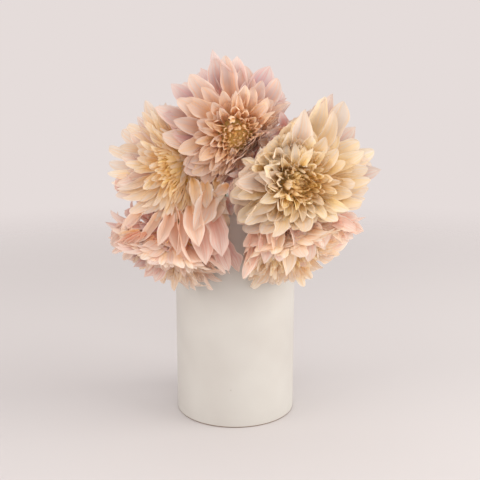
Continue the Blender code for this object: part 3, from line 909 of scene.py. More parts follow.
EVERY_WAY = (180, 180, 180)
TUFTS = (
    Tuft("top", (-0.002, -0.079, 0.283), (0.052, -0.074, 0.335), (0.1, -1.0, 0.05), 9, 4,
         EVERY_WAY, (30, 80), 28, (0.023, 0.032), (0.011, 0.016), (0, 0.3), (0.2, 0.45), (0.08, 0.35)),
    Tuft("top", (-0.022, -0.060, 0.272), (0.050, -0.056, 0.340), (0.1, -1.0, 0.05), 9, 4,
         EVERY_WAY, (70, 92), 15, (0.024, 0.034), (0.018, 0.024), (0, 0.3), (0.1, 0.3), (0.0, 0.25)),
    Tuft("right", (0.030, -0.103, 0.297), (0.066, -0.106, 0.301), (0.0, -1.0, 0.1), 6, 4,
         (150, 80, 20), (28, 64), 25, (0.022, 0.031), (0.009, 0.013), (0.1, 0.5), (0.1, 0.3), (0.35, 0.65)),
    Tuft("left", (-0.044, -0.078, 0.272), (-0.026, -0.076, 0.264), (0.2, -0.95, -0.1), 3, 4,
         (292, 292, 57), (30, 80), 28, (0.028, 0.042), (0.014, 0.020), (0.1, 0.5), (0.1, 0.3), (0.2, 0.5)),
    Tuft("low_left", (-0.112, -0.046, 0.258), (-0.036, -0.056, 0.256), (0.0, -1.0, 0.1), 8, 4,
         EVERY_WAY, (70, 90), 15, (0.026, 0.034), (0.018, 0.024), (0.1, 0.4), (0.1, 0.3), (0.0, 0.12)),
    Tuft("low_left", (-0.098, -0.068, 0.240), (-0.034, -0.080, 0.238), (-0.1, -0.95, 0.10), 9, 3,
         (200, 285, 18), (62, 86), 22, (0.038, 0.050), (0.016, 0.022), (0.1, 0.5), (0.1, 0.3), (0.06, 0.30)),
    Tuft("low_left", (-0.088, -0.106, 0.240), (-0.050, -0.112, 0.234), (-0.25, -0.93, -0.10), 7, 8,
         (208, 268, 14), (70, 92), 16, (0.030, 0.050), (0.007, 0.011), (0.2, 0.7), (0.15, 0.4), (0.10, 0.50)),
    Tuft("low_right", (0.026, -0.096, 0.246), (0.094, -0.094, 0.246), (0.1, -0.90, 0.25), 9, 3,
         (258, 335, 20), (50, 84), 22, (0.032, 0.046), (0.014, 0.019), (0.1, 0.6), (0.1, 0.3), (0.05, 0.40)),
)
TUFT_GRID = (17, 11)


def shares(rows, columns):
    """A column of shares from root to tip and a row of shares from edge to edge."""
    return np.linspace(0, 1, rows)[:, None], np.linspace(-1, 1, columns)[None, :]


def tuft_petal(tuft, share, draw):
    """A petal of a tuft, a share of the way along its row."""
    own = drawn(draw, {
        "lean": tuft.leans, "direction": (-1, 1), "tip": tuft.reach, "width": tuft.width,
        "cup": (0.5, 1.2), "twist": (-0.5, 0.5), "bend": (-0.2, 0.2), "colour_age": tuft.ages,
        "fold": tuft.fold, "hook": (-10, 25), "ruffle": tuft.ruffle, "phase": (0, math.tau),
        "waves": (1.5, 3.0), "point": (0.7, 1.1), "tint": (0, 1),
    })
    middle = tuft.fan[0] + (tuft.fan[1] - tuft.fan[0]) * share
    return own | {
        "direction": math.radians(middle + own["direction"] * tuft.fan[2]),
        "root_lean": math.radians(own["lean"] - tuft.arch),
        "tip_lean": math.radians(own["lean"]),
        "hook": math.radians(own["hook"]),
        "rolling": 0.3,
        "incurve": 0.0,
    }


def tuft_petals(flower):
    """Grids and traits of the petals that fan out of the seams of a head."""
    draw = random.Random(flower.seed + 2000)
    s, v = shares(*TUFT_GRID)
    for tuft in TUFTS:
        if tuft.flower != flower.name:
            continue
        for share in np.linspace(0, 1, tuft.places):
            place = (1 - share) * np.array(tuft.start) + share * np.array(tuft.end)
            for _ in range(tuft.petals):
                petal = tuft_petal(tuft, share, draw)
                points = petal_grid(petal, s, v) @ flower_axes(tuft) + place
                yield (clear_of_vase(points, VASE_SETTLE_DEPTH), s, v), petal


print("tuft petals:", sum(tuft.places * tuft.petals for tuft in TUFTS))

# %% [markdown]
# ## Hung petals
# Long petals of the left head and of the two low ones hang over the others, in front of the vase.
# The picture shows where each tip is and about where the petal comes out from behind the head
# above it, so each is placed by the pixels and depths of its two ends. The rib is an arch between
# them.

# %% Petals that hang over others
@dataclass
class Hung:
    """A long petal by the pixels and depths of its ends, and which way its inner face looks."""
    flower: str
    root: tuple
    tip: tuple
    depths: tuple
    width: float
    arch: float
    looks: tuple
    fold: float
    age: float


HUNG = (
    Hung("low_left", (204, 206), (222, 257), (-0.082, -0.132), 0.021, 0.008, (0.5, -1, 0.2), 0.5, 0.14),
    Hung("low_left", (190, 206), (199, 247), (-0.082, -0.136), 0.021, 0.010, (0.1, -1, 0.5), 0.6, 0.30),
    Hung("low_left", (194, 214), (206, 265), (-0.080, -0.130), 0.022, 0.007, (0.2, -1, 0.3), 0.3, 0.12),
    Hung("low_left", (178, 208), (194, 267), (-0.080, -0.130), 0.016, 0.008, (-0.6, -1, 0.2), 0.9, 0.24),
    Hung("low_left", (172, 204), (176, 256), (-0.078, -0.132), 0.014, 0.009, (0.8, -1, 0.1), 0.9, 0.34),
    Hung("low_left", (170, 208), (158, 246), (-0.074, -0.124), 0.014, 0.007, (0.4, -1, 0.4), 0.8, 0.26),
    Hung("low_left", (166, 208), (139, 242), (-0.070, -0.114), 0.013, 0.006, (0.2, -1, 0.6), 0.7, 0.34),
    Hung("low_left", (158, 206), (122, 233), (-0.066, -0.098), 0.013, 0.006, (-0.1, -1, 0.8), 0.6, 0.30),
    Hung("low_left", (212, 226), (239, 272), (-0.080, -0.100), 0.017, 0.004, (0.4, -1, 0.1), 0.3, 0.02),
    Hung("low_left", (206, 226), (229, 271), (-0.082, -0.118), 0.018, 0.005, (0.3, -1, 0.2), 0.3, 0.10),
    Hung("left", (206, 190), (194, 231), (-0.084, -0.130), 0.026, 0.004, (0.6, -1, 0.2), 0.9, 0.25),
    Hung("left", (222, 184), (206, 225), (-0.074, -0.108), 0.015, 0.004, (0.7, -1, 0.2), 0.9, 0.30),
    Hung("left", (192, 178), (195, 207), (-0.078, -0.112), 0.015, 0.005, (0.2, -1, 0.3), 0.5, 0.50),
    Hung("left", (204, 178), (206, 209), (-0.076, -0.110), 0.015, 0.005, (0.2, -1, 0.3), 0.5, 0.45),
    Hung("left", (214, 176), (217, 204), (-0.072, -0.100), 0.014, 0.004, (0.3, -1, 0.3), 0.5, 0.40),
    Hung("low_right", (259, 212), (243, 279), (-0.082, -0.126), 0.014, 0.009, (0.2, -1, 0.1), 0.5, 0.10),
    Hung("low_right", (258, 214), (252, 271), (-0.084, -0.124), 0.012, 0.008, (0.2, -1, 0.1), 0.6, 0.12),
    Hung("low_right", (262, 212), (264, 264), (-0.086, -0.134), 0.020, 0.009, (0.2, -1, 0.2), 0.4, 0.08),
    Hung("low_right", (276, 216), (275, 257), (-0.086, -0.140), 0.018, 0.008, (0.0, -1, 0.3), 0.5, 0.30),
    Hung("low_right", (284, 222), (286, 276), (-0.086, -0.134), 0.016, 0.008, (0.1, -1, 0.2), 0.5, 0.40),
    Hung("low_right", (290, 212), (295, 250), (-0.086, -0.136), 0.022, 0.008, (0.1, -1, 0.4), 0.4, 0.08),
    Hung("low_right", (300, 218), (308, 262), (-0.084, -0.130), 0.018, 0.008, (0.2, -1, 0.3), 0.5, 0.15),
    Hung("low_right", (308, 210), (324, 247), (-0.082, -0.124), 0.021, 0.008, (0.3, -1, 0.4), 0.3, 0.06),
    Hung("low_right", (322, 206), (346, 238), (-0.076, -0.112), 0.021, 0.008, (0.4, -1, 0.5), 0.3, 0.03),
    Hung("low_right", (268, 210), (268, 244), (-0.086, -0.134), 0.020, 0.007, (0.3, -1, 0.3), 0.3, 0.10),
)
HUNG_GRID = (25, 13)
HUNG_DRAWS = {
    "cup": (0.3, 1.2), "twist": (-0.5, 0.5), "ruffle": (0.15, 0.4), "waves": (1.0, 2.2),
    "phase": (0, math.tau), "point": (0.6, 1.1), "tint": (0, 1),
}


def hung_rib(hung, s):
    """An arched rib between the two ends of a hung petal, its side and its inner face."""
    root = seen_at(hung.root, hung.depths[0])
    chord = seen_at(hung.tip, hung.depths[1]) - root
    along = unit(chord)
    looks = np.array(hung.looks, float)
    looks = unit(looks - (looks @ along) * along)
    rib = root + chord * s[..., None] + hung.arch * (4 * s * (1 - s))[..., None] * looks
    slope = (4 * hung.arch * (1 - 2 * s) / np.linalg.norm(chord))[..., None]
    inner_face = (looks - slope * along) / np.sqrt(1 + slope ** 2)
    return rib, np.cross(along, looks), inner_face


def hung_petals(flower):
    """Grids and traits of the long petals that hang over the others."""
    draw = random.Random(flower.seed + 3000)
    s, v = shares(*HUNG_GRID)
    for hung in HUNG:
        if hung.flower != flower.name:
            continue
        petal = drawn(draw, HUNG_DRAWS) | {"width": hung.width, "fold": hung.fold, "rolling": 0.2,
                                           "colour_age": hung.age}
        points = blade(*hung_rib(hung, s), petal, s, v)
        yield (clear_of_vase(points, VASE_SETTLE_DEPTH), s, v), petal


print("hung petals:", len(HUNG))

# %% [markdown]
# ## Petal finish
# A petal is a thin, watery leaf of tissue. Light scatters inside it, and about half of it comes
# out at the far side, so the folds glow warm instead of turning grey. One sheet with a Translucent
# shader mixed into the Principled one gives that, without a second surface behind the first. The
# gloss is weak and wide (IOR about 1.4, roughness 0.6). Each point of the mesh carries its place on
# its petal as attributes for the nodes to read.

# %% What a petal's mesh tells its finish
MARKS = ("along", "across", "half_mm", "age", "tint")


def petal_mesh(name, grids, traits):
    """One mesh over the point grids of many petals, with their marks as attributes."""
    points, faces, marks = [], [], []
    first = 0
    for (grid, s, v), trait in zip(grids, traits):
        rows, columns = grid.shape[:2]
        points.append(grid.reshape(-1, 3))
        index = first + np.arange(rows * columns).reshape(rows, columns)
        faces.append(np.stack((index[:-1, :-1], index[:-1, 1:], index[1:, 1:], index[1:, :-1]), -1)
                     .reshape(-1, 4))
        told = (s, v, 1000 * trait["width"] / 2, trait["colour_age"], trait["tint"])
        marks.append(np.stack([np.broadcast_to(mark, (rows, columns)) for mark in told], -1).reshape(-1, 5))
        first += rows * columns
    mesh = bpy.data.meshes.new(name)
    mesh.from_pydata(np.concatenate(points).tolist(), [], np.concatenate(faces).tolist())
    for column, mark in enumerate(MARKS):
        layer = mesh.attributes.new(mark, "FLOAT", "POINT")
        layer.data.foreach_set("value", np.ascontiguousarray(np.concatenate(marks)[:, column], np.float32))
    mesh.shade_smooth()
    return mesh


print("marks on each point:", ", ".join(MARKS))

# %% [markdown]
# Colour follows growth: gold in the eye, cream on the body, blushed pink on the oldest petals.
# Towards the root it is warmer and deeper, partly the petal's own colour and partly painted warm
# shade of the creases where petals overlap. Soft blotches a couple of centimetres wide are flushed
# like the oldest petals.

# %% Colour that grows with age
BLOTCH_MM = 22.0


@dataclass
class Palette:
    """Petal colours: three ages and the eye, two ages of root, partly painted crease shade, and the margin,
    partly painted highlight.
    """
    eye: str
    young: str
    body: str
    old: str
    root: str
    old_root_and_shade: str
    # The margin colour: paler thin tissue, and partly a painted highlight on curled margins and tips.
    margin: str


def grown_colour(tree, mark, palette):
    """Colour by age and place on the petal, its warm root partly painted crease shade, and the root's colour
    for the veins to share.
    """
    grown = add_node(tree, "ValToRGB", {"stops": ((0.0, palette.old), (0.24, palette.body),
                     (0.72, palette.young), (1.0, palette.eye))}, {"Fac": mark["age"]}).outputs["Color"]
    # Root colours: partly the petal's own deeper base, partly painted warm shade of the creases.
    root = add_node(tree, "ValToRGB", {"stops": ((0.06, palette.old_root_and_shade), (0.30, palette.root),
                    (0.85, palette.eye))}, {"Fac": mark["age"]}).outputs["Color"]
    place = add_node(tree, "TexCoord").outputs["Object"]
    blotch = add_node(tree, "TexNoise", None, {"Vector": place, "Scale": 1000 / BLOTCH_MM, "Detail": 2.0})
    flushed = add_node(tree, "MapRange", None, {"Value": blotch.outputs["Fac"], "From Min": 0.48,
                       "From Max": 0.72, "To Min": 0.0, "To Max": 0.5})
    colour = add_node(tree, "Mix", {"data_type": "RGBA"},
                      {0: flushed.outputs["Result"], 6: grown, 7: linear(palette.old)}).outputs[2]
    # Root colour over the inner three quarters: the petal's warmer base, and partly painted crease shade.
    root_and_crease_shade = add_node(tree, "MapRange", {"interpolation_type": "SMOOTHSTEP"}, {"Value": mark["along"],
                    "From Min": 0.10, "From Max": 0.75, "To Min": 0.95, "To Max": 0.0})
    colour = add_node(tree, "Mix", {"data_type": "RGBA"},
                      {0: root_and_crease_shade.outputs["Result"], 6: colour, 7: root}).outputs[2]
    return colour, root


print("blotches are about", BLOTCH_MM, "mm wide")

# %% [markdown]
# A petal is paler at the margins and the tip, where the tissue is thinnest, and the pale there is
# also a painted highlight where margins and tips curl up into the light. The petals of the eye are
# young and deep in colour all over, so the effect fades out towards them.

# %% Pale margins and tips, partly painted highlight
MARGIN_PALE_AND_HIGHLIGHT = 0.85
TIP_PALE_AND_HIGHLIGHT = 0.9


def pale_and_highlit_margins(tree, mark, colour, palette):
    """The colour with paler margins and tip, partly painted highlight, less so on the youngest petals."""
    # Paler margins and tips: thinner tissue, and partly a painted highlight where they curl into the light.
    off_middle = add_node(tree, "Math", {"operation": "ABSOLUTE"}, {0: mark["across"]}).outputs["Value"]
    margin = add_node(tree, "MapRange", {"interpolation_type": "SMOOTHSTEP"},
                      {"Value": off_middle, "From Min": 0.5, "From Max": 1.0, "To Max": MARGIN_PALE_AND_HIGHLIGHT})
    tip = add_node(tree, "MapRange", {"interpolation_type": "SMOOTHSTEP"},
                   {"Value": mark["along"], "From Min": 0.60, "From Max": 1.0, "To Max": TIP_PALE_AND_HIGHLIGHT})
    pale = add_node(tree, "Math", {"operation": "MAXIMUM"},
                    {0: margin.outputs["Result"], 1: tip.outputs["Result"]})
    grown_up = add_node(tree, "MapRange", None, {"Value": mark["age"], "From Min": 0.70, "From Max": 0.95,
                        "To Min": 1.0, "To Max": 0.25})
    share = add_node(tree, "Math", {"operation": "MULTIPLY"},
                     {0: pale.outputs["Value"], 1: grown_up.outputs["Result"]})
    return add_node(tree, "Mix", {"data_type": "RGBA"},
                    {0: share.outputs["Value"], 6: colour, 7: linear(palette.margin)}).outputs[2]


print("margins are up to", MARGIN_PALE_AND_HIGHLIGHT, "pale, tips up to", TIP_PALE_AND_HIGHLIGHT)

# %% [markdown]
# Veins run from root to tip, about 1.5 mm apart. They can be drawn from noise that is fine across
# the petal and stretched along it. Its third direction is a number of the petal's own, so that no
# two petals have the same veins.

# %% Veins
VEIN_MM = 1.5
VEIN_STRETCH = 1.6
PETAL_OFFSET = 97.0


def vein_pattern(tree, mark):
    """Noise across the petal in steps of the vein spacing, drawn out along it."""
    width_mm = add_node(tree, "Math", {"operation": "MULTIPLY"}, {0: mark["across"], 1: mark["half_mm"]})
    across = add_node(tree, "Math", {"operation": "DIVIDE"}, {0: width_mm.outputs["Value"], 1: VEIN_MM})
    along = add_node(tree, "Math", {"operation": "MULTIPLY"}, {0: mark["along"], 1: VEIN_STRETCH})
    own = add_node(tree, "Math", {"operation": "MULTIPLY"}, {0: mark["tint"], 1: PETAL_OFFSET})
    place = add_node(tree, "CombineXYZ", None, {"X": across.outputs["Value"], "Y": along.outputs["Value"],
                     "Z": own.outputs["Value"]})
    return add_node(tree, "TexNoise", None, {"Vector": place.outputs["Vector"], "Scale": 1.0,
                    "Detail": 2.0, "Roughness": 0.6}).outputs["Fac"]


print("veins every", VEIN_MM, "mm")

# %% [markdown]
# The tissue takes all of these together. The veins are shaded with the root's colour and stand out
# by a little, and each petal is a little lighter or warmer than the next.

# %% Petal tissue
VEIN_DEPTH = 0.0007
VEIN_SHADE = 0.48
LIGHT_THROUGH = 0.50


def petal_tissue(name, palette):
    """A petal finish: grown colour, pale margins, veins, and light that passes through."""
    made, tree, shader = new_finish(name)
    mark = {each: add_node(tree, "Attribute", {"attribute_name": each}).outputs["Fac"] for each in MARKS}
    colour, root = grown_colour(tree, mark, palette)
    # Margins and tips turn paler, partly as a painted highlight.
    colour = pale_and_highlit_margins(tree, mark, colour, palette)
    veins = vein_pattern(tree, mark)
    shade = add_node(tree, "MapRange", None, {"Value": veins, "From Min": 0.42, "From Max": 0.68,
                     "To Max": VEIN_SHADE})
    colour = add_node(tree, "Mix", {"data_type": "RGBA"},
                      {0: shade.outputs["Result"], 6: colour, 7: root}).outputs[2]
    lighter = add_node(tree, "MapRange", None, {"Value": mark["tint"], "To Min": 0.91, "To Max": 1.08})
    warmer = add_node(tree, "MapRange", None, {"Value": mark["tint"], "To Min": 0.488, "To Max": 0.508})
    colour = add_node(tree, "HueSaturation", None, {"Color": colour, "Value": lighter.outputs["Result"],
                      "Hue": warmer.outputs["Result"]}).outputs["Color"]
    relief = add_node(tree, "Bump", None, {"Height": veins, "Strength": 0.65, "Distance": VEIN_DEPTH})
    tree.links.new(colour, shader.inputs["Base Color"])
    tree.links.new(relief.outputs["Normal"], shader.inputs["Normal"])
    shader.inputs["Roughness"].default_value = 0.6
    shader.inputs["IOR"].default_value = 1.38
    glow = add_node(tree, "BsdfTranslucent", None, {"Color": colour, "Normal": relief.outputs["Normal"]})
    tissue = add_node(tree, "MixShader", None, {"Fac": LIGHT_THROUGH, 1: shader.outputs["BSDF"],
                      2: glow.outputs["BSDF"]})
    tree.links.new(tissue.outputs["Shader"], tree.nodes["Material Output"].inputs["Surface"])
    return made


print("share of light that passes through a petal:", LIGHT_THROUGH)

# %% [markdown]
# The five heads aren't one colour. The top one is the pinkest in front, the right one leans to
# butter yellow, the left one to pale cream, and the two low ones are pinker again at the roots,
# where the pink is partly painted crease shade.

# %% Colours of the five heads
# The fifth and sixth colours, the roots, are partly painted warm shade of the creases.
# The last colour of each head is the margin's, partly a painted highlight.
PALETTES = {
    "top": Palette("#FCE08C", "#FCD6AE", "#D7C3BA", "#CDB1B9", "#FFC890", "#EEA69E", "#F6EBE2"),
    "right": Palette("#F8DC8C", "#FEE6AC", "#DCD0C2", "#D1C0BE", "#FFDA86", "#EFBA9E", "#F6EFE4"),
    "left": Palette("#F6D880", "#FCE2B2", "#E7DACC", "#E0D1CD", "#FCCE8C", "#EAB69C", "#F7F1E8"),
    "low_left": Palette("#F0CE8C", "#F8E2BE", "#F1D9C8", "#E6C4BF", "#F3C096", "#DE8E80", "#F8EEE5"),
    "low_right": Palette("#F2D28A", "#FDE8B8", "#F9E4CE", "#F3D2C9", "#FDCC92", "#F0AC9A", "#FCF5EC"),
}
print("finishes for", ", ".join(PALETTES))

# %% [markdown]
# ## Growing the heads
# Every petal of a head becomes one grid in a shared mesh, wide old petals with more rows and
# columns than the small ones of the eye. The rows crowd towards the tip, where the outline bends
# most. Single sheets are enough, because the finish lets light through and a petal is far thinner
# than anything the picture shows. The dome is pressed like the petals, so that it too stays behind
# the faces shared with its neighbours.

# %% Build the heads
OLD_GRID = (28, 15)
YOUNG_GRID = (19, 11)
DOME_GRID = (9, 25)
ROW_CROWDING = 1.3
DOME_LAYER = 0.003


def heart_petals(flower, traits, faces):
    """Grids of the petals that grow from a head's heart, pressed against what is beside them."""
    for index, trait in enumerate(traits):
        shorten(trait, flower, faces)
        s, v = shares(*(OLD_GRID if index < OUTER_PETALS else YOUNG_GRID))
        s = 1 - (1 - s) ** ROW_CROWDING
        points = at_heart(lean_eye(petal_grid(trait, s, v), flower), flower)
        yield press(points, flower, faces, trait), s, v


def grow_head(flower):
    """All petals of a head and its dome, as one piece."""
    faces = shared_faces(flower)
    traits = petal_traits(flower)
    grids = list(heart_petals(flower, traits, faces))
    for grid, trait in [*tuft_petals(flower), *hung_petals(flower)]:
        grids.append(grid)
        traits.append(trait)
    s, v = shares(*DOME_GRID)
    dome = at_heart(lean_eye(dome_grid(s, v), flower), flower)
    grids.append((press(dome, flower, faces, {"layer": DOME_LAYER, "phase": 0.0}), 0 * s, 0 * v))
    traits.append({"width": 2 * DOME_RADIUS, "colour_age": 0.9, "tint": 0.5})
    name = "petals_" + flower.name
    finish = petal_tissue("petal_tissue_" + flower.name, PALETTES[flower.name])
    piece = new_piece(name, petal_mesh(name, grids, traits), [finish])
    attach(piece, "root")
    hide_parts("bloom_" + flower.name)
    return piece


for head in [grow_head(flower) for flower in FLOWERS]:
    print(head.name, "has", len(head.data.polygons), "faces")

# %% [markdown]
# ## Stems, cups and bracts
# A dahlia stands on a smooth, fleshy stalk, four to five millimetres in radius under a big head,
# with faint ridges along it. The stalk's centre line repeats the frame's: straight below the mouth
# of the vase, then over to the flower.

# %% A stem's centre line
STEM_RADIUS = 0.0045
STEM_NECK = 0.012
STEM_ROW = 0.003
TOUCH_GAP = 0.0003
CORE_SEAT = 0.010
CUP_LENGTH = 0.010


def spline_point(before, start, end, after, t):
    """A point of the smooth curve from start to end, with the points before and after them."""
    chord = (end - start).length
    leave = (end - before).normalized() * chord
    arrive = (after - start).normalized() * chord
    return ((2 * t**3 - 3 * t**2 + 1) * start + (t**3 - 2 * t**2 + t) * leave
            + (-2 * t**3 + 3 * t**2) * end + (t**3 - t**2) * arrive)


def stem_route(flower):
    """Points of a stem's centre line, from its cut end on the vase's floor to the green cup."""
    foot = Vector((*flower.stem_foot, VASE_FLOOR))
    tilt = (Vector(flower.stem_mouth) - foot).angle(Vector((0, 0, 1)))
    foot.z += TOUCH_GAP + STEM_RADIUS * math.sin(tilt)
    facing = Vector(unit(flower.facing))
    cup = Vector(flower.heart) - facing * (CORE_SEAT + CUP_LENGTH * 0.6)
    bends = [Vector(flower.stem_mouth), *(Vector(point) for point in flower.stem_bend),
             cup - facing * STEM_NECK, cup]
    straight = max(1, round((bends[0] - foot).length / STEM_ROW))
    points = [foot.lerp(bends[0], step / straight) for step in range(straight)]
    for index, (start, end) in enumerate(zip(bends, bends[1:])):
        before = bends[index - 1] if index else foot
        after = bends[index + 2] if index + 2 < len(bends) else 2 * end - start
        steps = max(1, round((end - start).length / STEM_ROW))
        points += [spline_point(before, start, end, after, step / steps) for step in range(steps)]
    return points + [cup]


print("points along the stems:", [len(stem_route(flower)) for flower in FLOWERS])

# %% [markdown]
# A ring of points is carried along the centre line, turned as little as possible at each step so
# that the ridges don't twist. Five shallow ridges and a slow bulge keep it from looking like pipe.

# %% A ridged stalk
STEM_SIDES = 20
STEM_RIDGES = 5
RIDGE_SHARE = 0.022
MEAN_SHARE = 0.975
BULGE_SHARE = 0.03
BULGE_STEP = 0.11


def stalk_mesh(name, route, seed):
    """A ridged round stalk along a route, its ends closed."""
    phase = random.Random(seed).uniform(0, math.tau)
    across = (route[1] - route[0]).orthogonal().normalized()
    heading = (route[1] - route[0]).normalized()
    vertices, faces = [], []
    for index, point in enumerate(route):
        ahead = (route[min(index + 1, len(route) - 1)] - route[max(index - 1, 0)]).normalized()
        across = heading.rotation_difference(ahead) @ across
        heading = ahead
        other = heading.cross(across)
        bulge = 1 + BULGE_SHARE * math.sin(index * BULGE_STEP + phase)
        for side in range(STEM_SIDES):
            turn = math.tau * side / STEM_SIDES
            ridge = MEAN_SHARE + RIDGE_SHARE * math.cos(STEM_RIDGES * turn + phase)
            radius = STEM_RADIUS * bulge * ridge
            vertices.append(tuple(point + radius * (math.cos(turn) * across + math.sin(turn) * other)))
    for low in range(0, len(vertices) - STEM_SIDES, STEM_SIDES):
        high = low + STEM_SIDES
        for side in range(STEM_SIDES):
            following = (side + 1) % STEM_SIDES
            faces.append((low + side, low + following, high + following, high + side))
    faces.append(tuple(reversed(range(STEM_SIDES))))
    faces.append(tuple(range(len(vertices) - STEM_SIDES, len(vertices))))
    mesh = bpy.data.meshes.new(name)
    mesh.from_pydata(vertices, [], faces)
    mesh.shade_smooth()
    return mesh


print("stalks are", 2000 * STEM_RADIUS, "mm across with", STEM_RIDGES, "ridges")

# %% [markdown]
# The stalk widens into a green cup under the petals, and five small outer bracts curl back from
# it. The cup can be turned from a profile, and a bract is a strip with a petal's outline whose rib
# is part of a circle. Both are thin skins here, and a Solidify modifier thickens them later.

# %% Cup and bracts
CUP_RADIUS = 0.0105
CUP_HOLE = 0.0005
CUP_TURNS = 33
CUP_FORM = ((0.9, 0), (1, 0.12), (0.97, 0.35), (0.80, 0.7))
NECK_FORM = ((1.25, 0.92), (1.02, 1.15))
BRACTS = 5
BRACT_GRID = (12, 7)
BRACT_LENGTH = 0.019
BRACT_WIDTH = 0.009
BRACT_CURL = 1.35
BRACT_ROOT = 0.005
BRACT_DROP = 0.004
BRACT_HOLLOW = 0.0012
GREEN_MARKS = {"width": 0.01, "colour_age": 0.0, "tint": 0.5}


def bract_grid(direction, seat):
    """Points of one outer bract about the heart, curled back from under the head."""
    outward = np.array((math.cos(direction), math.sin(direction), 0))
    side = np.array((-math.sin(direction), math.cos(direction), 0))
    s, v = shares(*BRACT_GRID)
    circle = BRACT_LENGTH / BRACT_CURL
    out = BRACT_ROOT + circle * np.sin(BRACT_CURL * s)
    back = BRACT_DROP + circle * (1 - np.cos(BRACT_CURL * s)) + BRACT_HOLLOW * v ** 2
    half = np.maximum(0.5 * BRACT_WIDTH * petal_outline(s), TIP_WIDTH)
    return (out[..., None] * outward + (v * half)[..., None] * side
            + (seat - back)[..., None] * np.array((0, 0, 1)))


def cup_mesh(name, flower):
    """The green cup as a turned form with five outer bracts curled back from it."""
    seat = -CORE_SEAT - TOUCH_GAP
    profile = [(CUP_HOLE, seat)]
    profile += [(CUP_RADIUS * wide, seat - CUP_LENGTH * down) for wide, down in CUP_FORM]
    profile += [(STEM_RADIUS * wide, seat - CUP_LENGTH * down) for wide, down in NECK_FORM]
    turns = np.linspace(0, math.tau, CUP_TURNS)
    grids = [at_heart(np.array([[(x * math.cos(a), x * math.sin(a), z) for a in turns] for x, z in profile]),
                      flower)]
    for index in range(BRACTS):
        bract = bract_grid(flower.roll + index * math.tau / BRACTS, seat)
        grids.append(clear_of_vase(at_heart(bract, flower), VASE_CLEARANCE))
    return petal_mesh(name, [(grid, *shares(*grid.shape[:2])) for grid in grids], [GREEN_MARKS] * len(grids))


print("each cup is", round(2000 * CUP_RADIUS), "mm across with", BRACTS, "bracts")

# %% [markdown]
# Fleshy green skin is moist and fairly smooth (roughness 0.45, IOR 1.4), and some light goes a
# millimetre into it. It is yellower in fine streaks along the stalk and flushed brown in patches a
# couple of centimetres wide. The streaks are drawn 2.5 mm wide, so that they show, and about 33 mm
# long, which is 400 and 30 of them to the metre.

# %% Green stem skin
STREAKS_PER_M = (400.0, 400.0, 30.0)
PATCHES_PER_M = 45.0
SKIN_DEPTH = 0.001
STREAK_DEPTH = 0.0003


def green_stem():
    """Fleshy green skin, yellower in streaks and flushed in patches."""
    made, tree, shader = new_finish("green_stem")
    place = add_node(tree, "TexCoord").outputs["Object"]
    spread = add_node(tree, "Mapping", None, {"Vector": place, "Scale": STREAKS_PER_M})
    streak = add_node(tree, "TexNoise", None,
                      {"Vector": spread.outputs["Vector"], "Scale": 1.0, "Detail": 3.0}).outputs["Fac"]
    skin = add_node(tree, "ValToRGB", {"stops": ((0.30, "#5E6B2A"), (0.72, "#8F9A4C"))}, {"Fac": streak})
    patch = add_node(tree, "TexNoise", None, {"Vector": place, "Scale": PATCHES_PER_M, "Detail": 2.0})
    flush = add_node(tree, "MapRange", None, {"Value": patch.outputs["Fac"], "From Min": 0.52,
                     "From Max": 0.75, "To Min": 0.0, "To Max": 0.5})
    colour = add_node(tree, "Mix", {"data_type": "RGBA"},
                      {0: flush.outputs["Result"], 6: skin.outputs["Color"], 7: linear("#7A5A3A")})
    relief = add_node(tree, "Bump", None, {"Height": streak, "Strength": 0.4, "Distance": STREAK_DEPTH})
    tree.links.new(colour.outputs[2], shader.inputs["Base Color"])
    tree.links.new(relief.outputs["Normal"], shader.inputs["Normal"])
    shader.inputs["Roughness"].default_value = 0.45
    shader.inputs["IOR"].default_value = 1.4
    shader.inputs["Subsurface Weight"].default_value = 0.3
    shader.inputs["Subsurface Radius"].default_value = (0.6, 1.0, 0.3)
    shader.inputs["Subsurface Scale"].default_value = SKIN_DEPTH
    return made


green = green_stem()
print("streaks", 1000 / STREAKS_PER_M[0], "mm wide, patches about", round(1000 / PATCHES_PER_M), "mm")

# %% [markdown]
# Stalk, cup and bracts grew as one, so they become one piece. The cup's skin is thickened by a
# modifier first, and its result is joined with the stalk in a bmesh.

# %% Build the green pieces
GREEN_THICKNESS = 0.0006


def thickened_cup(name, flower):
    """The cup and bracts with their thickness, as an object that only holds them for a while."""
    holder = new_piece(name, cup_mesh(name, flower), [])
    shell = holder.modifiers.new("tissue", "SOLIDIFY")
    shell.thickness = GREEN_THICKNESS
    bpy.context.view_layer.update()
    return holder


def green_piece(flower):
    """Stalk, cup and bracts of one flower as one piece."""
    name = "green_" + flower.name
    shape = bmesh.new()
    shape.from_mesh(stalk_mesh(name + "_stalk", stem_route(flower), flower.seed))
    holder = thickened_cup(name + "_cup", flower)
    shape.from_mesh(holder.evaluated_get(bpy.context.evaluated_depsgraph_get()).to_mesh())
    bpy.data.objects.remove(holder, do_unlink=True)
    mesh = bpy.data.meshes.new(name)
    shape.to_mesh(mesh)
    shape.free()
    mesh.shade_smooth()
    piece = new_piece(name, mesh, [green])
    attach(piece, "root")
    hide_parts("stem_" + flower.name)
    return piece


green_pieces = [green_piece(flower) for flower in FLOWERS]
print("green pieces:", ", ".join(piece.name for piece in green_pieces))

# %% [markdown]
# ## Water
# Still water reaches about seven tenths of the height. Seen from above it is a flat, clear,
# smooth-edged disc that climbs the wall by a millimetre or so where it wets it. Water bends light
# with an IOR of 1.333 and has no roughness of its own.

# %% Water
WATER_LEVEL = 0.180
MENISCUS = 0.0012
MENISCUS_RISE = ((4, 0.0), (2, 0.15), (0.8, 0.5), (0, 1.0))
SWELL_MM = 25.0
SWELL_DEPTH = 0.001
water_radius = inner_radius - TOUCH_GAP
water_low = VASE_FLOOR + TOUCH_GAP


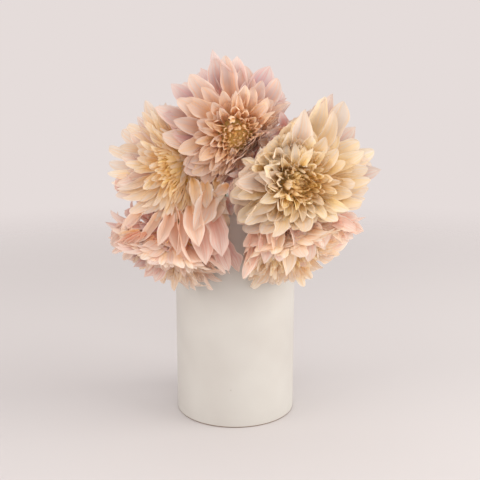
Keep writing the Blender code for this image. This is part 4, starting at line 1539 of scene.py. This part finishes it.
def clear_water():
    """Still water, with the faintest swell."""
    made, tree, shader = new_finish("clear_water")
    place = add_node(tree, "TexCoord").outputs["Object"]
    swell = add_node(tree, "TexNoise", None, {"Vector": place, "Scale": 1000 / SWELL_MM, "Detail": 1.0})
    relief = add_node(tree, "Bump", None,
                      {"Height": swell.outputs["Fac"], "Strength": 0.05, "Distance": SWELL_DEPTH})
    tree.links.new(relief.outputs["Normal"], shader.inputs["Normal"])
    shader.inputs["Base Color"].default_value = linear("#F2F7F4")
    shader.inputs["Roughness"].default_value = 0.0
    shader.inputs["IOR"].default_value = 1.333
    shader.inputs["Transmission Weight"].default_value = 1.0
    return made


water_profile = [(0, WATER_LEVEL)]
water_profile += [(water_radius - off * MENISCUS, WATER_LEVEL + rise * MENISCUS)
                  for off, rise in MENISCUS_RISE]
water_profile += arc((water_radius - INNER_FILLET, water_low + INNER_FILLET), INNER_FILLET, 0, -90, 5)
water_profile += [(0, water_low)]
water = turned("still_water", water_profile, FINE_SIDES, [clear_water()])
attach(water, "root")
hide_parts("water")
print("water stands", round(WATER_LEVEL * 1000), "mm above the surface")

# %% [markdown]
# ## Ground
# The ground is one pale, matte sheet of paper. It turns clear far from the vase, so it fades into
# the background and no horizon shows, which is what a curved paper backdrop does in a studio.

# %% Paper ground
GROUND_REACH = 6.0
GROUND_SIDES = 96
FADE_FROM = 0.55
FADE_TO = 1.7


def paper_ground():
    """A pale sheet that turns clear far from the vase."""
    made, tree, shader = new_finish("paper_ground")
    place = add_node(tree, "TexCoord").outputs["Object"]
    reach = add_node(tree, "VectorMath", {"operation": "LENGTH"}, {0: place})
    far = add_node(tree, "MapRange", {"interpolation_type": "SMOOTHSTEP"},
                   {"Value": reach.outputs["Value"], "From Min": FADE_FROM, "From Max": FADE_TO})
    clear = add_node(tree, "BsdfTransparent")
    mix = add_node(tree, "MixShader", None, {"Fac": far.outputs["Result"], 1: shader.outputs["BSDF"],
                   2: clear.outputs["BSDF"]})
    tree.links.new(mix.outputs["Shader"], tree.nodes["Material Output"].inputs["Surface"])
    shader.inputs["Base Color"].default_value = linear("#CBC9C9")
    shader.inputs["Roughness"].default_value = 0.8
    return made


ground_mesh = bpy.data.meshes.new("ground")
ground_shape = bmesh.new()
bmesh.ops.create_circle(ground_shape, cap_ends=True, segments=GROUND_SIDES, radius=GROUND_REACH)
ground_shape.to_mesh(ground_mesh)
ground_shape.free()
ground = new_piece("ground", ground_mesh, [paper_ground()])
print("ground fades from", FADE_FROM, "to", FADE_TO, "m")

# %% [markdown]
# ## Light
# The picture is high key: a pale room, and soft light from every side. A broad window on the right
# brightens that side of the vase, a wide soft light in front opens the shadows among the petals, a
# fill on the left softens the shadow of the vase, and a little comes from the ceiling. The room
# itself is the world's colour, which is also the background.

# %% Lights and surroundings
BACKGROUND = "#E5DCDA"
LIGHTS = (
    ("window", (1.7, -0.45, 1.0), (0, -0.03, 0.24), 1.5, 25.0, "#FFFBF6"),
    ("front", (0.1, -1.7, 0.9), (0, -0.03, 0.26), 1.8, 12.0, "#FFFCF8"),
    ("left_fill", (-1.5, -0.8, 0.9), (0, -0.03, 0.24), 1.2, 10.0, "#FFFAF6"),
    ("ceiling", (-0.2, -0.3, 2.2), (0, 0, 0.2), 1.6, 4.0, "#FFFFFF"),
)

world = bpy.data.worlds.new("pale room")
bpy.context.scene.world = world
world.use_nodes = True
world.node_tree.nodes["Background"].inputs["Color"].default_value = linear(BACKGROUND)
world.node_tree.nodes["Background"].inputs["Strength"].default_value = 1.0


def soft_light(name, place, aim, size, watts, colour):
    """A square area light that faces a point."""
    lamp = bpy.data.lights.new(name, "AREA")
    lamp.size = size
    lamp.energy = watts
    lamp.color = linear(colour)[:3]
    holder = bpy.data.objects.new(name, lamp)
    holder.location = place
    holder.rotation_euler = (Vector(place) - Vector(aim)).to_track_quat("Z", "Y").to_euler()
    bpy.context.scene.collection.objects.link(holder)


for light in LIGHTS:
    soft_light(*light)
print("lights:", ", ".join(light[0] for light in LIGHTS))
